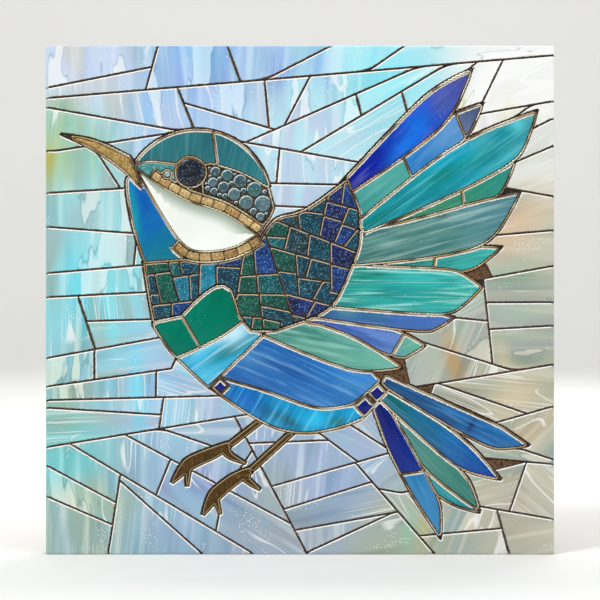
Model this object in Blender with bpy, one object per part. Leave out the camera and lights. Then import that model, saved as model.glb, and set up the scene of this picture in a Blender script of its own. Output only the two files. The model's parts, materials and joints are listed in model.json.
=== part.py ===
# Mosaic picture tile: a square of fired clay, a thin mortar bed, cut pieces of glass and
# glaze that draw a songbird on an opal ground, and gilt wire along the bird's seams.
# It stands upright with the picture towards -Y and its back on Y = 0, and the origin is
# the middle of the back. Sizes are in metres.

import bpy
import bmesh
import math
import random
import numpy as np
from collections import namedtuple
from mathutils import Vector
from mathutils.geometry import delaunay_2d_cdt

# Ceramic tile
tile_side = 0.300
tile_thickness = 0.0070
arris = 0.0007  # small chamfer round the back
key_depth = 0.0010  # long shallow recesses that key the back to its adhesive
key_pitch = 0.034
key_rib = 0.010
key_rim = 0.016

# Layers on the tile
bed_thickness = 0.0010
ground_glass = 0.0026
bird_glass = 0.0027
tessera_bed = 0.0009  # dark grout under the small tesserae and beads
leg_thickness = 0.0024
wire_height = 0.0033
eye_rise = 0.0014
eye_rim = 0.0032
pearl_rim = 0.0009
cheek_dish = 0.0007
cheek_rim = 0.0016
touch_gap = 0.0003

# Seams
wire_width = 0.0015
wire_clearance = 0.0004
grout_joint = 0.0011

# Small pieces of the head
eye_radius = 0.0092
pearl_radius = 0.0027
bead_large = 0.0054
bead_small = 0.0027
bead_gap = 0.0001
bead_step = 0.0007  # grid on which the places for beads are tried
cobalt_square = 0.0068
feather_cut_angle = 74  # degrees from the feather's length
feather_swell = 0.62  # share of the widening that is reached half way to the widest place
feather_shoulder = 0.72  # width half way from there to the tip, as a share of the widest
gold_row_width = 0.0062
brow_count = 10
collar_count = 7

# Cut of the ground and of the mantle
ground_cuts = 104
ground_seed = 11
ground_aspect = 2.7
ground_skew = 10  # degrees that a cut may turn from the way of the shard
ground_slant = 35  # degrees that a cross cut may lean from square
mantle_cuts = 100
mantle_seed = 5
mantle_aspect = 1.15
mantle_skew = 9
mantle_slant = 14
paving_choice = 3  # the next cell to cut is one of this many of the largest
large_shards = 12
smallest_shard = 0.000030  # square metres, below which a shard joins its neighbour
thinnest_shard = 0.0022
smallest_hole = 0.0000008
outline_tolerance = 0.00009
tiny_edge = 0.00003
weld = 0.000001

# The bird is drawn on a square of 300, whatever the tile measures
drawing_square = 300.0
scale = tile_side / drawing_square

# Half the seam that holds the wire
seam_half = wire_width / 2 + wire_clearance

# Depths from the back of the tile
bed_back = tile_thickness + touch_gap
bed_front = bed_back + bed_thickness
glass_back = bed_front + touch_gap

Field = namedtuple("Field", "name kind outlines cells")


def at(x, z):
    # A place in the drawing.
    return Vector((x * scale, z * scale))


def heading(degrees):
    return Vector((math.cos(math.radians(degrees)), math.sin(math.radians(degrees))))


def left_of(direction):
    return Vector((-direction.y, direction.x))


def cross(a, b):
    return a.x * b.y - a.y * b.x


def area(outline):
    return sum(cross(a, b) for a, b in zip(outline, outline[1:] + outline[:1])) / 2


def curve(points, steps=3):
    # A smooth line through the points.
    line = []
    for index in range(len(points) - 1):
        before = points[max(index - 1, 0)]
        start = points[index]
        end = points[index + 1]
        after = points[min(index + 2, len(points) - 1)]
        for step in range(steps):
            t = step / steps
            line.append(
                0.5
                * (
                    2 * start
                    + (end - before) * t
                    + (2 * before - 5 * start + 4 * end - after) * t * t
                    + (3 * start - before - 3 * end + after) * t * t * t
                )
            )
    return line + [points[-1]]


def disc(centre, radius, sides):
    return [centre + heading(360 * (i + 0.5) / sides) * radius for i in range(sides)]


def arc(centre, radius, first, last, steps):
    return [centre + heading(first + (last - first) * i / steps) * radius for i in range(steps + 1)]


def blade(root, tip, root_width, upper, lower):
    # A feather along the line from its root to its tip. Each edge has its own greatest
    # distance from that line and the share of the length where it stands.
    along = tip - root
    side = left_of(along.normalized())

    def edge(sign, width, place):
        half = root_width / 2
        shares = [0, place / 2, place, (1 + place) / 2]
        reaches = [half, half + (width - half) * feather_swell, width, width * feather_shoulder]
        points = [root + along * s + side * sign * r for s, r in zip(shares, reaches)]
        return curve(points + [tip], 2)

    return edge(-1, *lower) + edge(1, *upper)[::-1][1:]


def ribbon(line, widths):
    # A band of changing width along a line.
    left = []
    right = []
    for index, point in enumerate(line):
        along = (line[min(index + 1, len(line) - 1)] - line[max(index - 1, 0)]).normalized()
        share = index / (len(line) - 1) * (len(widths) - 1)
        first = min(int(share), len(widths) - 2)
        width = widths[first] + (widths[first + 1] - widths[first]) * (share - first)
        left.append(point + left_of(along) * width / 2)
        right.append(point - left_of(along) * width / 2)
    return right + left[::-1]


def cut(outline, point, direction):
    # The part of a convex outline on the left of a line.
    kept = []
    for a, b in zip(outline, outline[1:] + outline[:1]):
        side_a = cross(direction, a - point)
        side_b = cross(direction, b - point)
        if side_a >= 0:
            kept.append(a)
        if side_a * side_b < 0:
            kept.append(a + (b - a) * (side_a / (side_a - side_b)))
    return kept


def half_plane(point, angle):
    # A big square on the left of a line, which cuts a field in two.
    axis = heading(angle) * tile_side * 2
    return [point - axis, point + axis, point + axis + left_of(axis), point - axis + left_of(axis)]


def square():
    half = tile_side / 2
    return [Vector((x, z)) for x, z in ((-half, -half), (half, -half), (half, half), (-half, half))]


def overlay(outlines):
    # Every outline laid over the others: points, triangles and the outlines that hold each.
    points = []
    edges = []
    for outline in outlines:
        first = len(points)
        points += outline
        edges += [(first + i, first + (i + 1) % len(outline)) for i in range(len(outline))]
    result = delaunay_2d_cdt(points, edges, [], 0, weld)
    laid = result[0]
    triangles = [list(face) for face in result[2]]
    corners = np.array([[laid[index][:] for index in triangle] for triangle in triangles])
    middle_x, middle_z = corners.mean(axis=1).T
    holders = [[] for triangle in triangles]
    for number, outline in enumerate(outlines):
        inside = np.zeros(len(triangles), dtype=bool)
        for a, b in zip(outline, outline[1:] + outline[:1]):
            if a.y == b.y:
                continue
            crossing = a.x + (b.x - a.x) * (middle_z - a.y) / (b.y - a.y)
            inside ^= ((a.y > middle_z) != (b.y > middle_z)) & (middle_x < crossing)
        for index in np.flatnonzero(inside):
            holders[index].append(number)
    kept = [index for index, holder in enumerate(holders) if holder]
    return laid, [triangles[index] for index in kept], [holders[index] for index in kept]


def borders(triangles):
    # Each directed edge of the triangles that has no partner.
    edges = set()
    for triangle in triangles:
        for a, b in zip(triangle, triangle[1:] + triangle[:1]):
            edges.add((a, b))
    return [edge for edge in sorted(edges) if (edge[1], edge[0]) not in edges]


def loops(edges):
    # Closed rings of point numbers along directed edges, split where a point repeats.
    following = {}
    for a, b in edges:
        following.setdefault(a, []).append(b)
    rings = []
    while following:
        start = min(following)
        ring = [start]
        while True:
            choices = following[ring[-1]]
            step = choices.pop()
            if not choices:
                del following[ring[-1]]
            if step in ring:
                place = ring.index(step)
                rings.append(ring[place:])
                ring = ring[: place + 1]
                if step not in following:
                    break
            else:
                ring.append(step)
    return [ring for ring in rings if len(ring) > 2]


def thin(line):
    # The line without points that lie within the tolerance of a straight run.
    if len(line) < 3:
        return line
    chord = line[-1] - line[0]
    reach = max(chord.length, tiny_edge)
    offsets = [abs(cross(chord, point - line[0])) / reach for point in line[1:-1]]
    if chord.length < tiny_edge:
        offsets = [(point - line[0]).length for point in line[1:-1]]
    far = max(range(len(offsets)), key=lambda index: offsets[index])
    if offsets[far] < outline_tolerance:
        return [line[0], line[-1]]
    return thin(line[: far + 2])[:-1] + thin(line[far + 1 :])


def tidy(outline):
    # A closed outline thinned between its two farthest corners.
    middle = sum(outline, Vector((0, 0))) / len(outline)
    first = max(range(len(outline)), key=lambda index: (outline[index] - middle).length)
    turned = outline[first:] + outline[:first]
    far = max(range(len(turned)), key=lambda index: (turned[index] - turned[0]).length)
    return thin(turned[: far + 1])[:-1] + thin(turned[far:] + turned[:1])[:-1]


def groups(triangles, label):
    # Triangles of one label that share edges, as lists of triangle numbers.
    partner = {}
    for index, triangle in enumerate(triangles):
        for a, b in zip(triangle, triangle[1:] + triangle[:1]):
            partner[(a, b)] = index
    seen = set()
    found = []
    for start in range(len(triangles)):
        if start in seen or label[start] is None:
            continue
        seen.add(start)
        group = [start]
        for index in group:
            triangle = triangles[index]
            for a, b in zip(triangle, triangle[1:] + triangle[:1]):
                other = partner.get((b, a))
                if other is not None and other not in seen and label[other] == label[start]:
                    seen.add(other)
                    group.append(other)
        found.append(group)
    return found


def corner(point, first, second, first_margin, second_margin):
    # The wedge left between two margins where an outline turns outwards.
    first_side = left_of(first.normalized()) * first_margin
    second_side = left_of(second.normalized()) * second_margin
    middle = (first_side + second_side) / 2
    reach = max(first_margin, second_margin)
    sharp = middle.length < reach * 0.6
    tip = middle.normalized() * (reach if sharp else reach * reach / middle.length)
    return [point, point + second_side, point + tip, point + first_side]


def ring_corners(points, ring, margin_of):
    # Corners of a ring with the margin of the edge that leaves each, without tiny edges.
    following = ring[1:] + ring[:1]
    corners = [(points[a], margin_of((a, b))) for a, b in zip(ring, following)]
    index = 0
    while index < len(corners) and len(corners) > 3:
        before, before_margin = corners[index - 1]
        here, margin = corners[index]
        after = corners[(index + 1) % len(corners)][0]
        chord = after - before
        offset = abs(cross(chord, here - before)) / max(chord.length, tiny_edge)
        straight = offset < tiny_edge / 10 and margin == before_margin
        if (after - here).length < tiny_edge or straight:
            del corners[index]
            index = max(index - 1, 0)
        else:
            index += 1
    return corners


def strip(start, end, half):
    # A straight band round the line between two points.
    side = left_of((end - start).normalized()) * half
    return [start - side, end - side, end + side, start + side]


def near(outline, start, end, distance):
    # Whether a line may come within a distance of an outline.
    for axis in (0, 1):
        places = [point[axis] for point in outline]
        if max(start[axis], end[axis]) < min(places) - distance:
            return False
        if min(start[axis], end[axis]) > max(places) + distance:
            return False
    return True


def shrink(points, triangles, margin_of, wires=()):
    # The outlines left when each border edge has taken its margin from the inside, and
    # every wire near the piece has taken its own band.
    body = []
    takers = []
    for ring in loops(borders(triangles)):
        corners = ring_corners(points, ring, margin_of)
        body.append([place for place, margin in corners])
        for index, (end, end_margin) in enumerate(corners):
            start, margin = corners[index - 1]
            after = corners[(index + 1) % len(corners)][0]
            if margin > 0:
                side = left_of((end - start).normalized()) * margin
                takers.append([start, end, end + side, start + side])
            if margin > 0 and end_margin > 0 and cross(end - start, after - end) < -tiny_edge**2:
                takers.append(corner(end, end - start, after - end, margin, end_margin))
    for start, end in wires:
        if any(near(outline, start, end, seam_half) for outline in body):
            takers.append(strip(start, end, seam_half))
            takers.append(disc(start, seam_half, 8))
            takers.append(disc(end, seam_half, 8))
    body = [outline for outline in body if abs(area(outline)) > tiny_edge**2]
    laid_points, laid, holders = overlay(body + takers)
    label = []
    for holder in holders:
        inside = sum(1 for index in holder if index < len(body)) % 2 == 1
        taken = any(index >= len(body) for index in holder)
        label.append("kept" if inside and not taken else None)
    found = []
    for group in groups(laid, label):
        rings = loops(borders([laid[index] for index in group]))
        outlines = [tidy([laid_points[index] for index in ring]) for ring in rings]
        found.append([outline for outline in outlines if abs(area(outline)) > smallest_hole])
    found = [outlines for outlines in found if outlines]
    found.sort(key=lambda outlines: -max(abs(area(outline)) for outline in outlines))
    return found


# The bird, from the pieces on top to the ground below


def between(upper, lower, count):
    # Cells between two lines with as many points, in equal steps.
    def pick(line, share):
        place = share * (len(line) - 1)
        first = min(int(place), len(line) - 2)
        return line[first].lerp(line[first + 1], place - first)

    cells = []
    for index in range(count):
        start = index / count
        end = (index + 1) / count
        cells.append([pick(lower, start), pick(lower, end), pick(upper, end), pick(upper, start)])
    return cells


def beside(line, distance):
    moved = []
    for index, point in enumerate(line):
        along = (line[min(index + 1, len(line) - 1)] - line[max(index - 1, 0)]).normalized()
        moved.append(point + left_of(along) * distance)
    return moved


def gold_row(name, line, distance, count):
    cells = between(beside(line, distance), line, count)
    cells = [("%s_%02d" % (name, index + 1), [cell]) for index, cell in enumerate(cells)]
    return Field(name, "row", [beside(line, distance) + line[::-1]], cells)


def bead_cells(outline, avoided):
    # Round beads packed into the outline, each time the largest that still fits.
    low_x = min(point.x for point in outline)
    high_x = max(point.x for point in outline)
    low_z = min(point.y for point in outline)
    high_z = max(point.y for point in outline)
    places = []
    for row in range(int((high_z - low_z) / bead_step)):
        for column in range(int((high_x - low_x) / bead_step)):
            centre = Vector((low_x + column * bead_step, low_z + row * bead_step))
            room = min([distance_inside(outline, centre)] + [-distance_inside(o, centre) for o in avoided])
            largest = bead_small + (bead_large - bead_small) * (centre.x - low_x) / (high_x - low_x)
            if room > bead_small:
                places.append([min(room - seam_half / 2, largest), centre])
    cells = []
    while places:
        radius, centre = max(places, key=lambda place: (round(place[0], 5), place[1].x, place[1].y))
        cells.append(("bead_%02d" % (len(cells) + 1), [disc(centre, radius, 7)]))
        for place in places:
            place[0] = min(place[0], (place[1] - centre).length - radius - bead_gap)
        places = [place for place in places if place[0] > bead_small]
    return cells


def distance_inside(outline, point):
    # How far a point is from the outline, negative outside it.
    nearest = tile_side
    inside = False
    for a, b in zip(outline, outline[1:] + outline[:1]):
        share = max(0.0, min(1.0, (point - a).dot(b - a) / max((b - a).length_squared, 1e-12)))
        nearest = min(nearest, (a + (b - a) * share - point).length)
        if (a.y > point.y) != (b.y > point.y):
            if point.x < a.x + (b.x - a.x) * (point.y - a.y) / (b.y - a.y):
                inside = not inside
    return nearest if inside else -nearest


def paving(name, outline, count, way, longest, skew, slant, seed):
    # Crazy paving: one of the largest cells is cut along its way, or across it on a
    # slant once it is too long.
    rng = random.Random(seed)
    cells = [outline]
    while len(cells) < count:
        cells.sort(key=lambda cell: -area(cell))
        cell = cells.pop(rng.randrange(min(paving_choice, len(cells))))
        middle = sum(cell, Vector((0, 0))) / len(cell)
        along = heading(way(middle))
        lengths = [point.dot(along) for point in cell]
        widths = [point.dot(left_of(along)) for point in cell]
        length = max(lengths) - min(lengths)
        width = max(widths) - min(widths)
        angle = way(middle) + rng.uniform(-skew, skew)
        if length / width > longest * rng.uniform(0.7, 1.2):
            angle += rng.choice((-1, 1)) * (90 - rng.uniform(0, slant))
        place = middle + along * length * rng.uniform(-0.16, 0.16)
        place += left_of(along) * width * rng.uniform(-0.12, 0.12)
        direction = heading(angle)
        cells += [cut(cell, place, direction), cut(cell, place, -direction)]
    return [("%s_%03d" % (name, index + 1), [cell]) for index, cell in enumerate(cells)]


def head_fields():
    upper_cheek = curve([at(-97, 78), at(-84, 68.5), at(-66, 58.5), at(-45, 51.5), at(-25, 38.5)])
    lower_cheek = curve([at(-25, 38.5), at(-39, 31), at(-54, 28.5), at(-67, 31), at(-80, 48), at(-97, 78)])
    eye_place = at(-64.5, 75.5)
    pearl_place = at(-78.4, 74.2)
    beak_top = curve([at(-140.5, 97.5), at(-121, 94), at(-100.5, 84.5)])
    beak_low = curve([at(-93.5, 66), at(-107, 78.5), at(-124, 89.8), at(-140.5, 97.5)])
    ear = curve([at(-57, 60), at(-57, 79), at(-47, 79), at(-32, 74), at(-18.5, 66)], 2)
    ear += curve([at(-15.5, 54), at(-24, 42), at(-42, 52)], 2)
    crown = arc(at(-60.9, 56.6), 44.2 * scale, 149.5, 13.6, 12) + [at(-30, 55), at(-80, 66)]
    throat = curve([at(-97, 76), at(-102.5, 70), at(-99, 45), at(-91.5, 22)])
    throat += [at(-64, 24), at(-60, 40)]
    lore = [at(-98, 80), at(-88, 82), at(-72, 80), at(-68, 62), at(-86, 66)]
    brow_line = upper_cheek[2:]
    collar_line = lower_cheek[:-5]
    brow = gold_row("brow_tesserae", brow_line, gold_row_width, brow_count)
    eye = disc(eye_place, eye_radius, 14)
    beads = bead_cells(ear, [eye, brow.outlines[0]])
    return [
        Field("eye", "round", [eye], []),
        Field("lore_pearl", "round", [disc(pearl_place, pearl_radius, 8)], []),
        Field("beak", "bird", [beak_top + [at(-96.5, 76)] + beak_low[:-1]], []),
        Field("cheek", "bird", [upper_cheek + lower_cheek[1:-1]], []),
        brow,
        gold_row("collar_tesserae", collar_line[::-1], -gold_row_width, collar_count),
        Field("lore", "bird", [lore], []),
        Field("ear_beads", "beads", [ear], beads),
        Field(
            "crown",
            "bird",
            [crown],
            [("crown_back", [half_plane(at(-49.5, 85), -82)]), ("crown_front", [square()])],
        ),
        Field("throat", "bird", [throat], []),
    ]


def block(centre, width, height, angle):
    across = heading(angle) * width / 2
    up = left_of(heading(angle)) * height / 2
    return [centre - across - up, centre + across - up, centre + across + up, centre - across + up]


def mantle_way(point):
    # The rows of tesserae run level on the breast and fall away over the back.
    return 3 - 22 * max(0.0, point.x - at(-30, 0).x) / at(60, 0).x


def mantle_field():
    outline = curve([at(-92.5, 23), at(-78, 24), at(-50, 26), at(-24, 35)])[:-1]
    outline += curve([at(-24, 35), at(-14, 48), at(3, 53), at(28, 71)])
    outline += curve([at(35, 54), at(35.5, 34), at(30, 18), at(21, -1), at(9, -10), at(-15, -18.5)])
    outline += curve([at(-29, -18.5), at(-36, -9), at(-41, 6), at(-50, 8), at(-62, -1), at(-70, -9.5)], 2)
    outline += [at(-86.5, -13), at(-89.5, 4)]
    reach = [at(-96, -24), at(42, -24), at(42, 76), at(-96, 76)]
    shape = (mantle_way, mantle_aspect, mantle_skew, mantle_slant)
    cells = paving("mantle", reach, mantle_cuts, *shape, mantle_seed)
    return Field("mantle_tesserae", "row", [outline], cells)


def body_field():
    outline = curve([at(-70, -4), at(-86.5, -12), at(-80, -25), at(-73, -34), at(-55, -51)])[:-1]
    outline += curve([at(-55, -51), at(-45, -57.5), at(-30, -67.5), at(-13, -76), at(5, -78.5), at(25, -75)])
    outline += [at(37, -70), at(45, -61), at(52, -53), at(46, -46), at(0, 0), at(-40, 20)]
    belly_line = curve([at(-52, -41), at(-46, -46), at(-22, -53), at(0, -61), at(14, -64), at(30, -62)])
    plate_line = [at(-74, -34.5), at(-59, -28), at(-46, -21.5), at(-33, -12)]
    cells = [
        ("cobalt_square_front", [block(at(-47, -51), cobalt_square, cobalt_square, 45)]),
        ("cobalt_square_middle", [block(at(38.5, -63), cobalt_square * 1.25, cobalt_square * 1.35, 42)]),
        ("cobalt_square_back", [block(at(45.5, -54.5), cobalt_square * 1.1, cobalt_square * 1.1, 42)]),
        ("breast_front", [[at(-110, -40)] + plate_line[:2] + [at(-70.5, -8), at(-110, 2)]]),
        ("breast_back", [plate_line[1:] + [at(-30, 20), at(-75, 20), at(-70.5, -8)]]),
        ("aqua_band", [plate_line + [at(-22, -21), at(-46, -44), at(-60, -57), at(-84, -50)]]),
        ("flank", [belly_line + [at(37, -57), at(60, -36), at(0, 0), at(-22, -10), at(-34, -22)]]),
        ("belly", [square()]),
    ]
    return Field("body", "bird", [outline], cells)


Feather = namedtuple("Feather", "name root tip root_width upper lower cuts")


def feather_field(feather):
    # A feather, cut across at shares of its length.
    upper = (feather.upper[0] * scale, feather.upper[1])
    lower = (feather.lower[0] * scale, feather.lower[1])
    outline = blade(feather.root, feather.tip, feather.root_width * scale, upper, lower)
    axis = feather.tip - feather.root
    angle = math.degrees(math.atan2(axis.y, axis.x)) + feather_cut_angle
    places = ["root", "middle", "tip"] if len(feather.cuts) == 2 else ["root", "tip"]
    covers = [half_plane(feather.root + axis * share, angle) for share in feather.cuts] + [square()]
    cells = [("%s_%s" % (feather.name, place), [cover]) for place, cover in zip(places, covers)]
    return Field(feather.name, "bird", [outline], cells if feather.cuts else [])


def wing_fields():
    # Name, root, tip, width at the root, then each edge's reach and where it stands.
    feathers = [
        Feather("wing_feather_01", at(27, 66), at(101.5, 136), 8, (7.5, 0.66), (12.5, 0.62), []),
        Feather("wing_feather_03", at(36, 43), at(140, 111.5), 8, (9.5, 0.54), (17.5, 0.74), []),
        Feather("wing_feather_02", at(30, 54), at(108, 116), 24, (9, 0.62), (10.5, 0.72), [0.42, 0.82]),
        Feather("wing_feather_05", at(30, 30), at(130, 63.5), 20, (4, 0.5), (23, 0.66), []),
        Feather("wing_feather_04", at(33, 40), at(127, 81.5), 10, (6, 0.5), (15, 0.78), [0.66]),
        Feather("wing_feather_07", at(16, 9), at(107.5, 7.5), 26, (10.5, 0.76), (16.5, 0.74), []),
        Feather("wing_feather_06", at(34, 20), at(119, 31), 8, (4, 0.6), (11.5, 0.70), [0.54]),
        Feather("wing_feather_08", at(6, -5), at(91, -10.5), 10, (6, 0.5), (9.5, 0.78), []),
        Feather("wing_feather_10", at(-20, -20), at(61, -40), 3, (13, 0.34), (8.5, 0.62), []),
        Feather("wing_feather_09", at(2, -8), at(74, -27), 8, (5, 0.66), (11, 0.80), [0.80]),
    ]
    return [feather_field(feather) for feather in feathers]


def tail_fields():
    feathers = [
        Feather("tail_feather_1", at(49, -47), at(135, -86), 6, (3.6, 0.72), (10.5, 0.74), []),
        Feather("tail_feather_2", at(48, -55), at(118.5, -106), 7, (7, 0.52), (9, 0.66), []),
        Feather("tail_feather_5", at(46, -60), at(83, -141), 8, (8.5, 0.72), (6.2, 0.34), [0.52]),
        Feather("tail_feather_3", at(51, -61), at(106, -124.5), 5, (7.5, 0.70), (8.5, 0.42), []),
        Feather("tail_feather_4", at(66, -92), at(106, -125.5), 8, (3, 0.5), (8, 0.52), []),
    ]
    return [feather_field(feather) for feather in feathers]


def leg_field(name, hip, ankle, instep, ball, claws, heel, hind):
    # One leg: a thin shank, a foot that swells to its ball and ends in a claw, a second
    # claw and a hind toe.
    foot = curve([ankle, instep, ball, claws[0]])
    spur = curve([ankle.lerp(instep, 0.3), heel, hind], 2)
    parts = [
        ribbon([hip, ankle], [3.8 * scale, 3.8 * scale]),
        ribbon(foot, [4.5 * scale, 7.5 * scale, 8.2 * scale, 1.6 * scale]),
        ribbon([ball, claws[1]], [5 * scale, 1.8 * scale]),
        ribbon(spur, [7 * scale, 4.4 * scale, 1.6 * scale]),
    ]
    return Field(name, "leg", parts, [])


def leg_fields():
    return [
        leg_field("leg_front", at(-20, -69), at(-41.5, -85.5), at(-52, -90.5), at(-66, -97),
                  [at(-75.5, -108), at(-66.5, -110)], at(-41.5, -92), at(-32, -96.5)),
        leg_field("leg_back", at(1, -73), at(-29, -100.5), at(-39, -106), at(-50.5, -115.5),
                  [at(-57.3, -127), at(-47, -126.5)], at(-31, -106.5), at(-23.5, -112)),
    ]


def flow(point):
    # The way the long shards of the ground lie: level at the left, raying out at the right.
    spread = point.x / (tile_side / 2)
    lift = point.y / (tile_side / 2)
    if lift > 0.62:
        return 14 + 26 * math.sin(4.2 * spread)
    if lift < -0.55:
        return -8 + 30 * math.sin(3.4 * spread + 0.6)
    if spread > 0:
        return math.degrees(math.atan2(lift * 0.9 + 0.05, spread + 0.35))
    return 3 - 14 * lift * (1 + spread)


def picture_fields():
    shape = (flow, ground_aspect, ground_skew, ground_slant)
    ground = paving("ground", square(), ground_cuts, *shape, ground_seed)
    fields = head_fields() + [mantle_field()] + wing_fields() + [body_field()]
    return fields + tail_fields() + leg_fields() + [Field("ground", "ground", [square()], ground)]


class Picture:
    # The drawing cut into pieces: each piece has a name, a field, its triangles and outlines.

    def __init__(self, fields):
        self.fields = {field.name: field for field in fields}
        self.lay(fields)
        self.gather()
        self.join_small_pieces()

    def lay(self, fields):
        outlines = []
        owner = []
        for rank, field in enumerate(fields):
            for outline in field.outlines:
                outlines.append(outline)
                owner.append((rank, None))
            for place, (name, cells) in enumerate(field.cells):
                for cell in cells:
                    outlines.append(cell)
                    owner.append((rank, place))
        outlines.append(square())
        owner.append((len(fields), None))
        self.points, self.triangles, holders = overlay(outlines)
        self.label = []
        for holder in holders:
            held = [owner[index] for index in holder]
            if not any(rank == len(fields) for rank, place in held):
                self.label.append(None)
                continue
            ranks = [rank for rank, place in held if place is None and rank < len(fields)]
            rank = min(ranks)
            places = [place for other, place in held if other == rank and place is not None]
            field = fields[rank]
            if places:
                self.label.append((field.name, field.cells[min(places)][0]))
            else:
                self.label.append((field.name, field.name))

    def gather(self):
        self.pieces = {}
        self.piece_of = [None] * len(self.triangles)
        found = groups(self.triangles, self.label)
        found.sort(key=lambda group: -self.size(group))
        taken = set()
        for number, group in enumerate(found):
            field, name = self.label[group[0]]
            spare = name in taken
            taken.add(name)
            self.pieces[number] = {
                "field": field, "name": name, "triangles": group, "spare": spare, "filler": False
            }
            for index in group:
                self.piece_of[index] = number

    def size(self, group):
        return sum(area([self.points[i] for i in self.triangles[index]]) for index in group)

    def neighbours(self, number):
        # The length of border that a piece shares with each other piece.
        partner = {}
        for index, triangle in enumerate(self.triangles):
            for edge in zip(triangle, triangle[1:] + triangle[:1]):
                partner[edge] = index
        shared = {}
        for index in self.pieces[number]["triangles"]:
            triangle = self.triangles[index]
            for a, b in zip(triangle, triangle[1:] + triangle[:1]):
                other = partner.get((b, a))
                other = None if other is None else self.piece_of[other]
                if other != number:
                    length = (self.points[a] - self.points[b]).length
                    shared[other] = shared.get(other, 0.0) + length
        return shared

    def join_small_pieces(self):
        # A spare scrap of a cut piece, or a shard too small to set, joins its neighbour.
        for number in sorted(self.pieces, reverse=True):
            piece = self.pieces[number]
            shared = self.neighbours(number)
            size = self.size(piece["triangles"])
            width = 2 * size / sum(shared.values())
            small = size < smallest_shard or width < thinnest_shard
            kind = self.fields[piece["field"]].kind
            if kind in ("beads", "leg", "round"):
                continue
            if not (small if kind in ("ground", "row") else piece["spare"]):
                continue
            heirs = [other for other in shared if other is not None and self.may_join(piece, other)]
            if not heirs:
                piece["filler"] = size < smallest_shard / 2
                continue
            heir = max(sorted(heirs), key=lambda other: shared[other])
            self.pieces[heir]["triangles"] += piece["triangles"]
            for index in piece["triangles"]:
                self.piece_of[index] = heir
            del self.pieces[number]

    def may_join(self, piece, other):
        field = self.pieces[other]["field"]
        same_kind = self.fields[field].kind == self.fields[piece["field"]].kind
        return field == piece["field"] or same_kind and self.fields[field].kind == "bird"

    def seam(self, one, other):
        # The half width of the seam between two pieces.
        if other is None:
            return 0.0
        if self.pieces[other]["filler"]:
            return seam_half
        return seam_half if self.wired_seam(one, other) else grout_joint / 2

    def edge_owners(self):
        # The piece on the left of each directed edge.
        owner = {}
        for index, triangle in enumerate(self.triangles):
            for edge in zip(triangle, triangle[1:] + triangle[:1]):
                owner[edge] = self.piece_of[index]
        return owner

    def wire_lines(self):
        # The lines along which wire runs, each once.
        owner = self.edge_owners()
        found = []
        for (a, b), number in sorted(owner.items()):
            other = owner.get((b, a))
            if a > b or number is None or other is None or number == other:
                continue
            if self.wired_seam(number, other) and (self.points[b] - self.points[a]).length > tiny_edge:
                found.append((self.points[a], self.points[b]))
        return found

    def wired_seam(self, one, other):
        names = [self.pieces[number]["field"] for number in (one, other)]
        kinds = {self.fields[name].kind for name in names}
        fused = names[0] == names[1] and kinds <= {"row", "beads"}
        return not fused and not kinds <= {"ground", "leg"}

    def outlines(self):
        # Each piece's own outline, drawn in from its seams.
        owner = self.edge_owners()
        wires = self.wire_lines()
        for number, piece in self.pieces.items():
            found = shrink(
                self.points,
                [self.triangles[index] for index in piece["triangles"]],
                lambda edge: self.seam(number, owner.get((edge[1], edge[0]))),
                [] if self.fields[piece["field"]].kind in ("bird", "round") else wires,
            )
            piece["outlines"] = [] if piece["filler"] else [outlines[0] for outlines in found]

    def field_outline(self, name):
        # One outline round all pieces of a field, drawn in from the wire.
        members = {number for number, piece in self.pieces.items() if piece["field"] == name}
        triangles = [
            self.triangles[index] for index in range(len(self.triangles)) if self.piece_of[index] in members
        ]
        return shrink(self.points, triangles, lambda edge: seam_half)[0]

    def wire_outlines(self):
        # Strips of wire along every seam of the bird, joined into one net.
        half = wire_width / 2
        strips = []
        for start, end in self.wire_lines():
            strips.append(strip(start, end, half))
            strips.append(disc(start, half, 8))
            strips.append(disc(end, half, 8))
        laid_points, laid, holders = overlay(strips)
        parts = groups(laid, ["wire"] * len(laid))
        parts.sort(key=len, reverse=True)
        rings = loops(borders([laid[index] for index in parts[0]]))
        outlines = [tidy([laid_points[index] for index in ring]) for ring in rings]
        return [outline for outline in outlines if len(outline) > 2 and abs(area(outline)) > half * half]


def material(name, colour, roughness, metallic):
    made = bpy.data.materials.get(name)
    if made is None:
        made = bpy.data.materials.new(name)
        made.use_nodes = True
        shader = made.node_tree.nodes["Principled BSDF"]
        shader.inputs["Base Color"].default_value = (*colour, 1.0)
        shader.inputs["Roughness"].default_value = roughness
        shader.inputs["Metallic"].default_value = metallic
    return made


def add_object(name, bm, finish):
    mesh = bpy.data.meshes.new(name)
    bm.normal_update()
    bm.to_mesh(mesh)
    bm.free()
    made = bpy.data.objects.new(name, mesh)
    made.data.materials.append(finish)
    bpy.context.scene.collection.objects.link(made)
    return made


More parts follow.
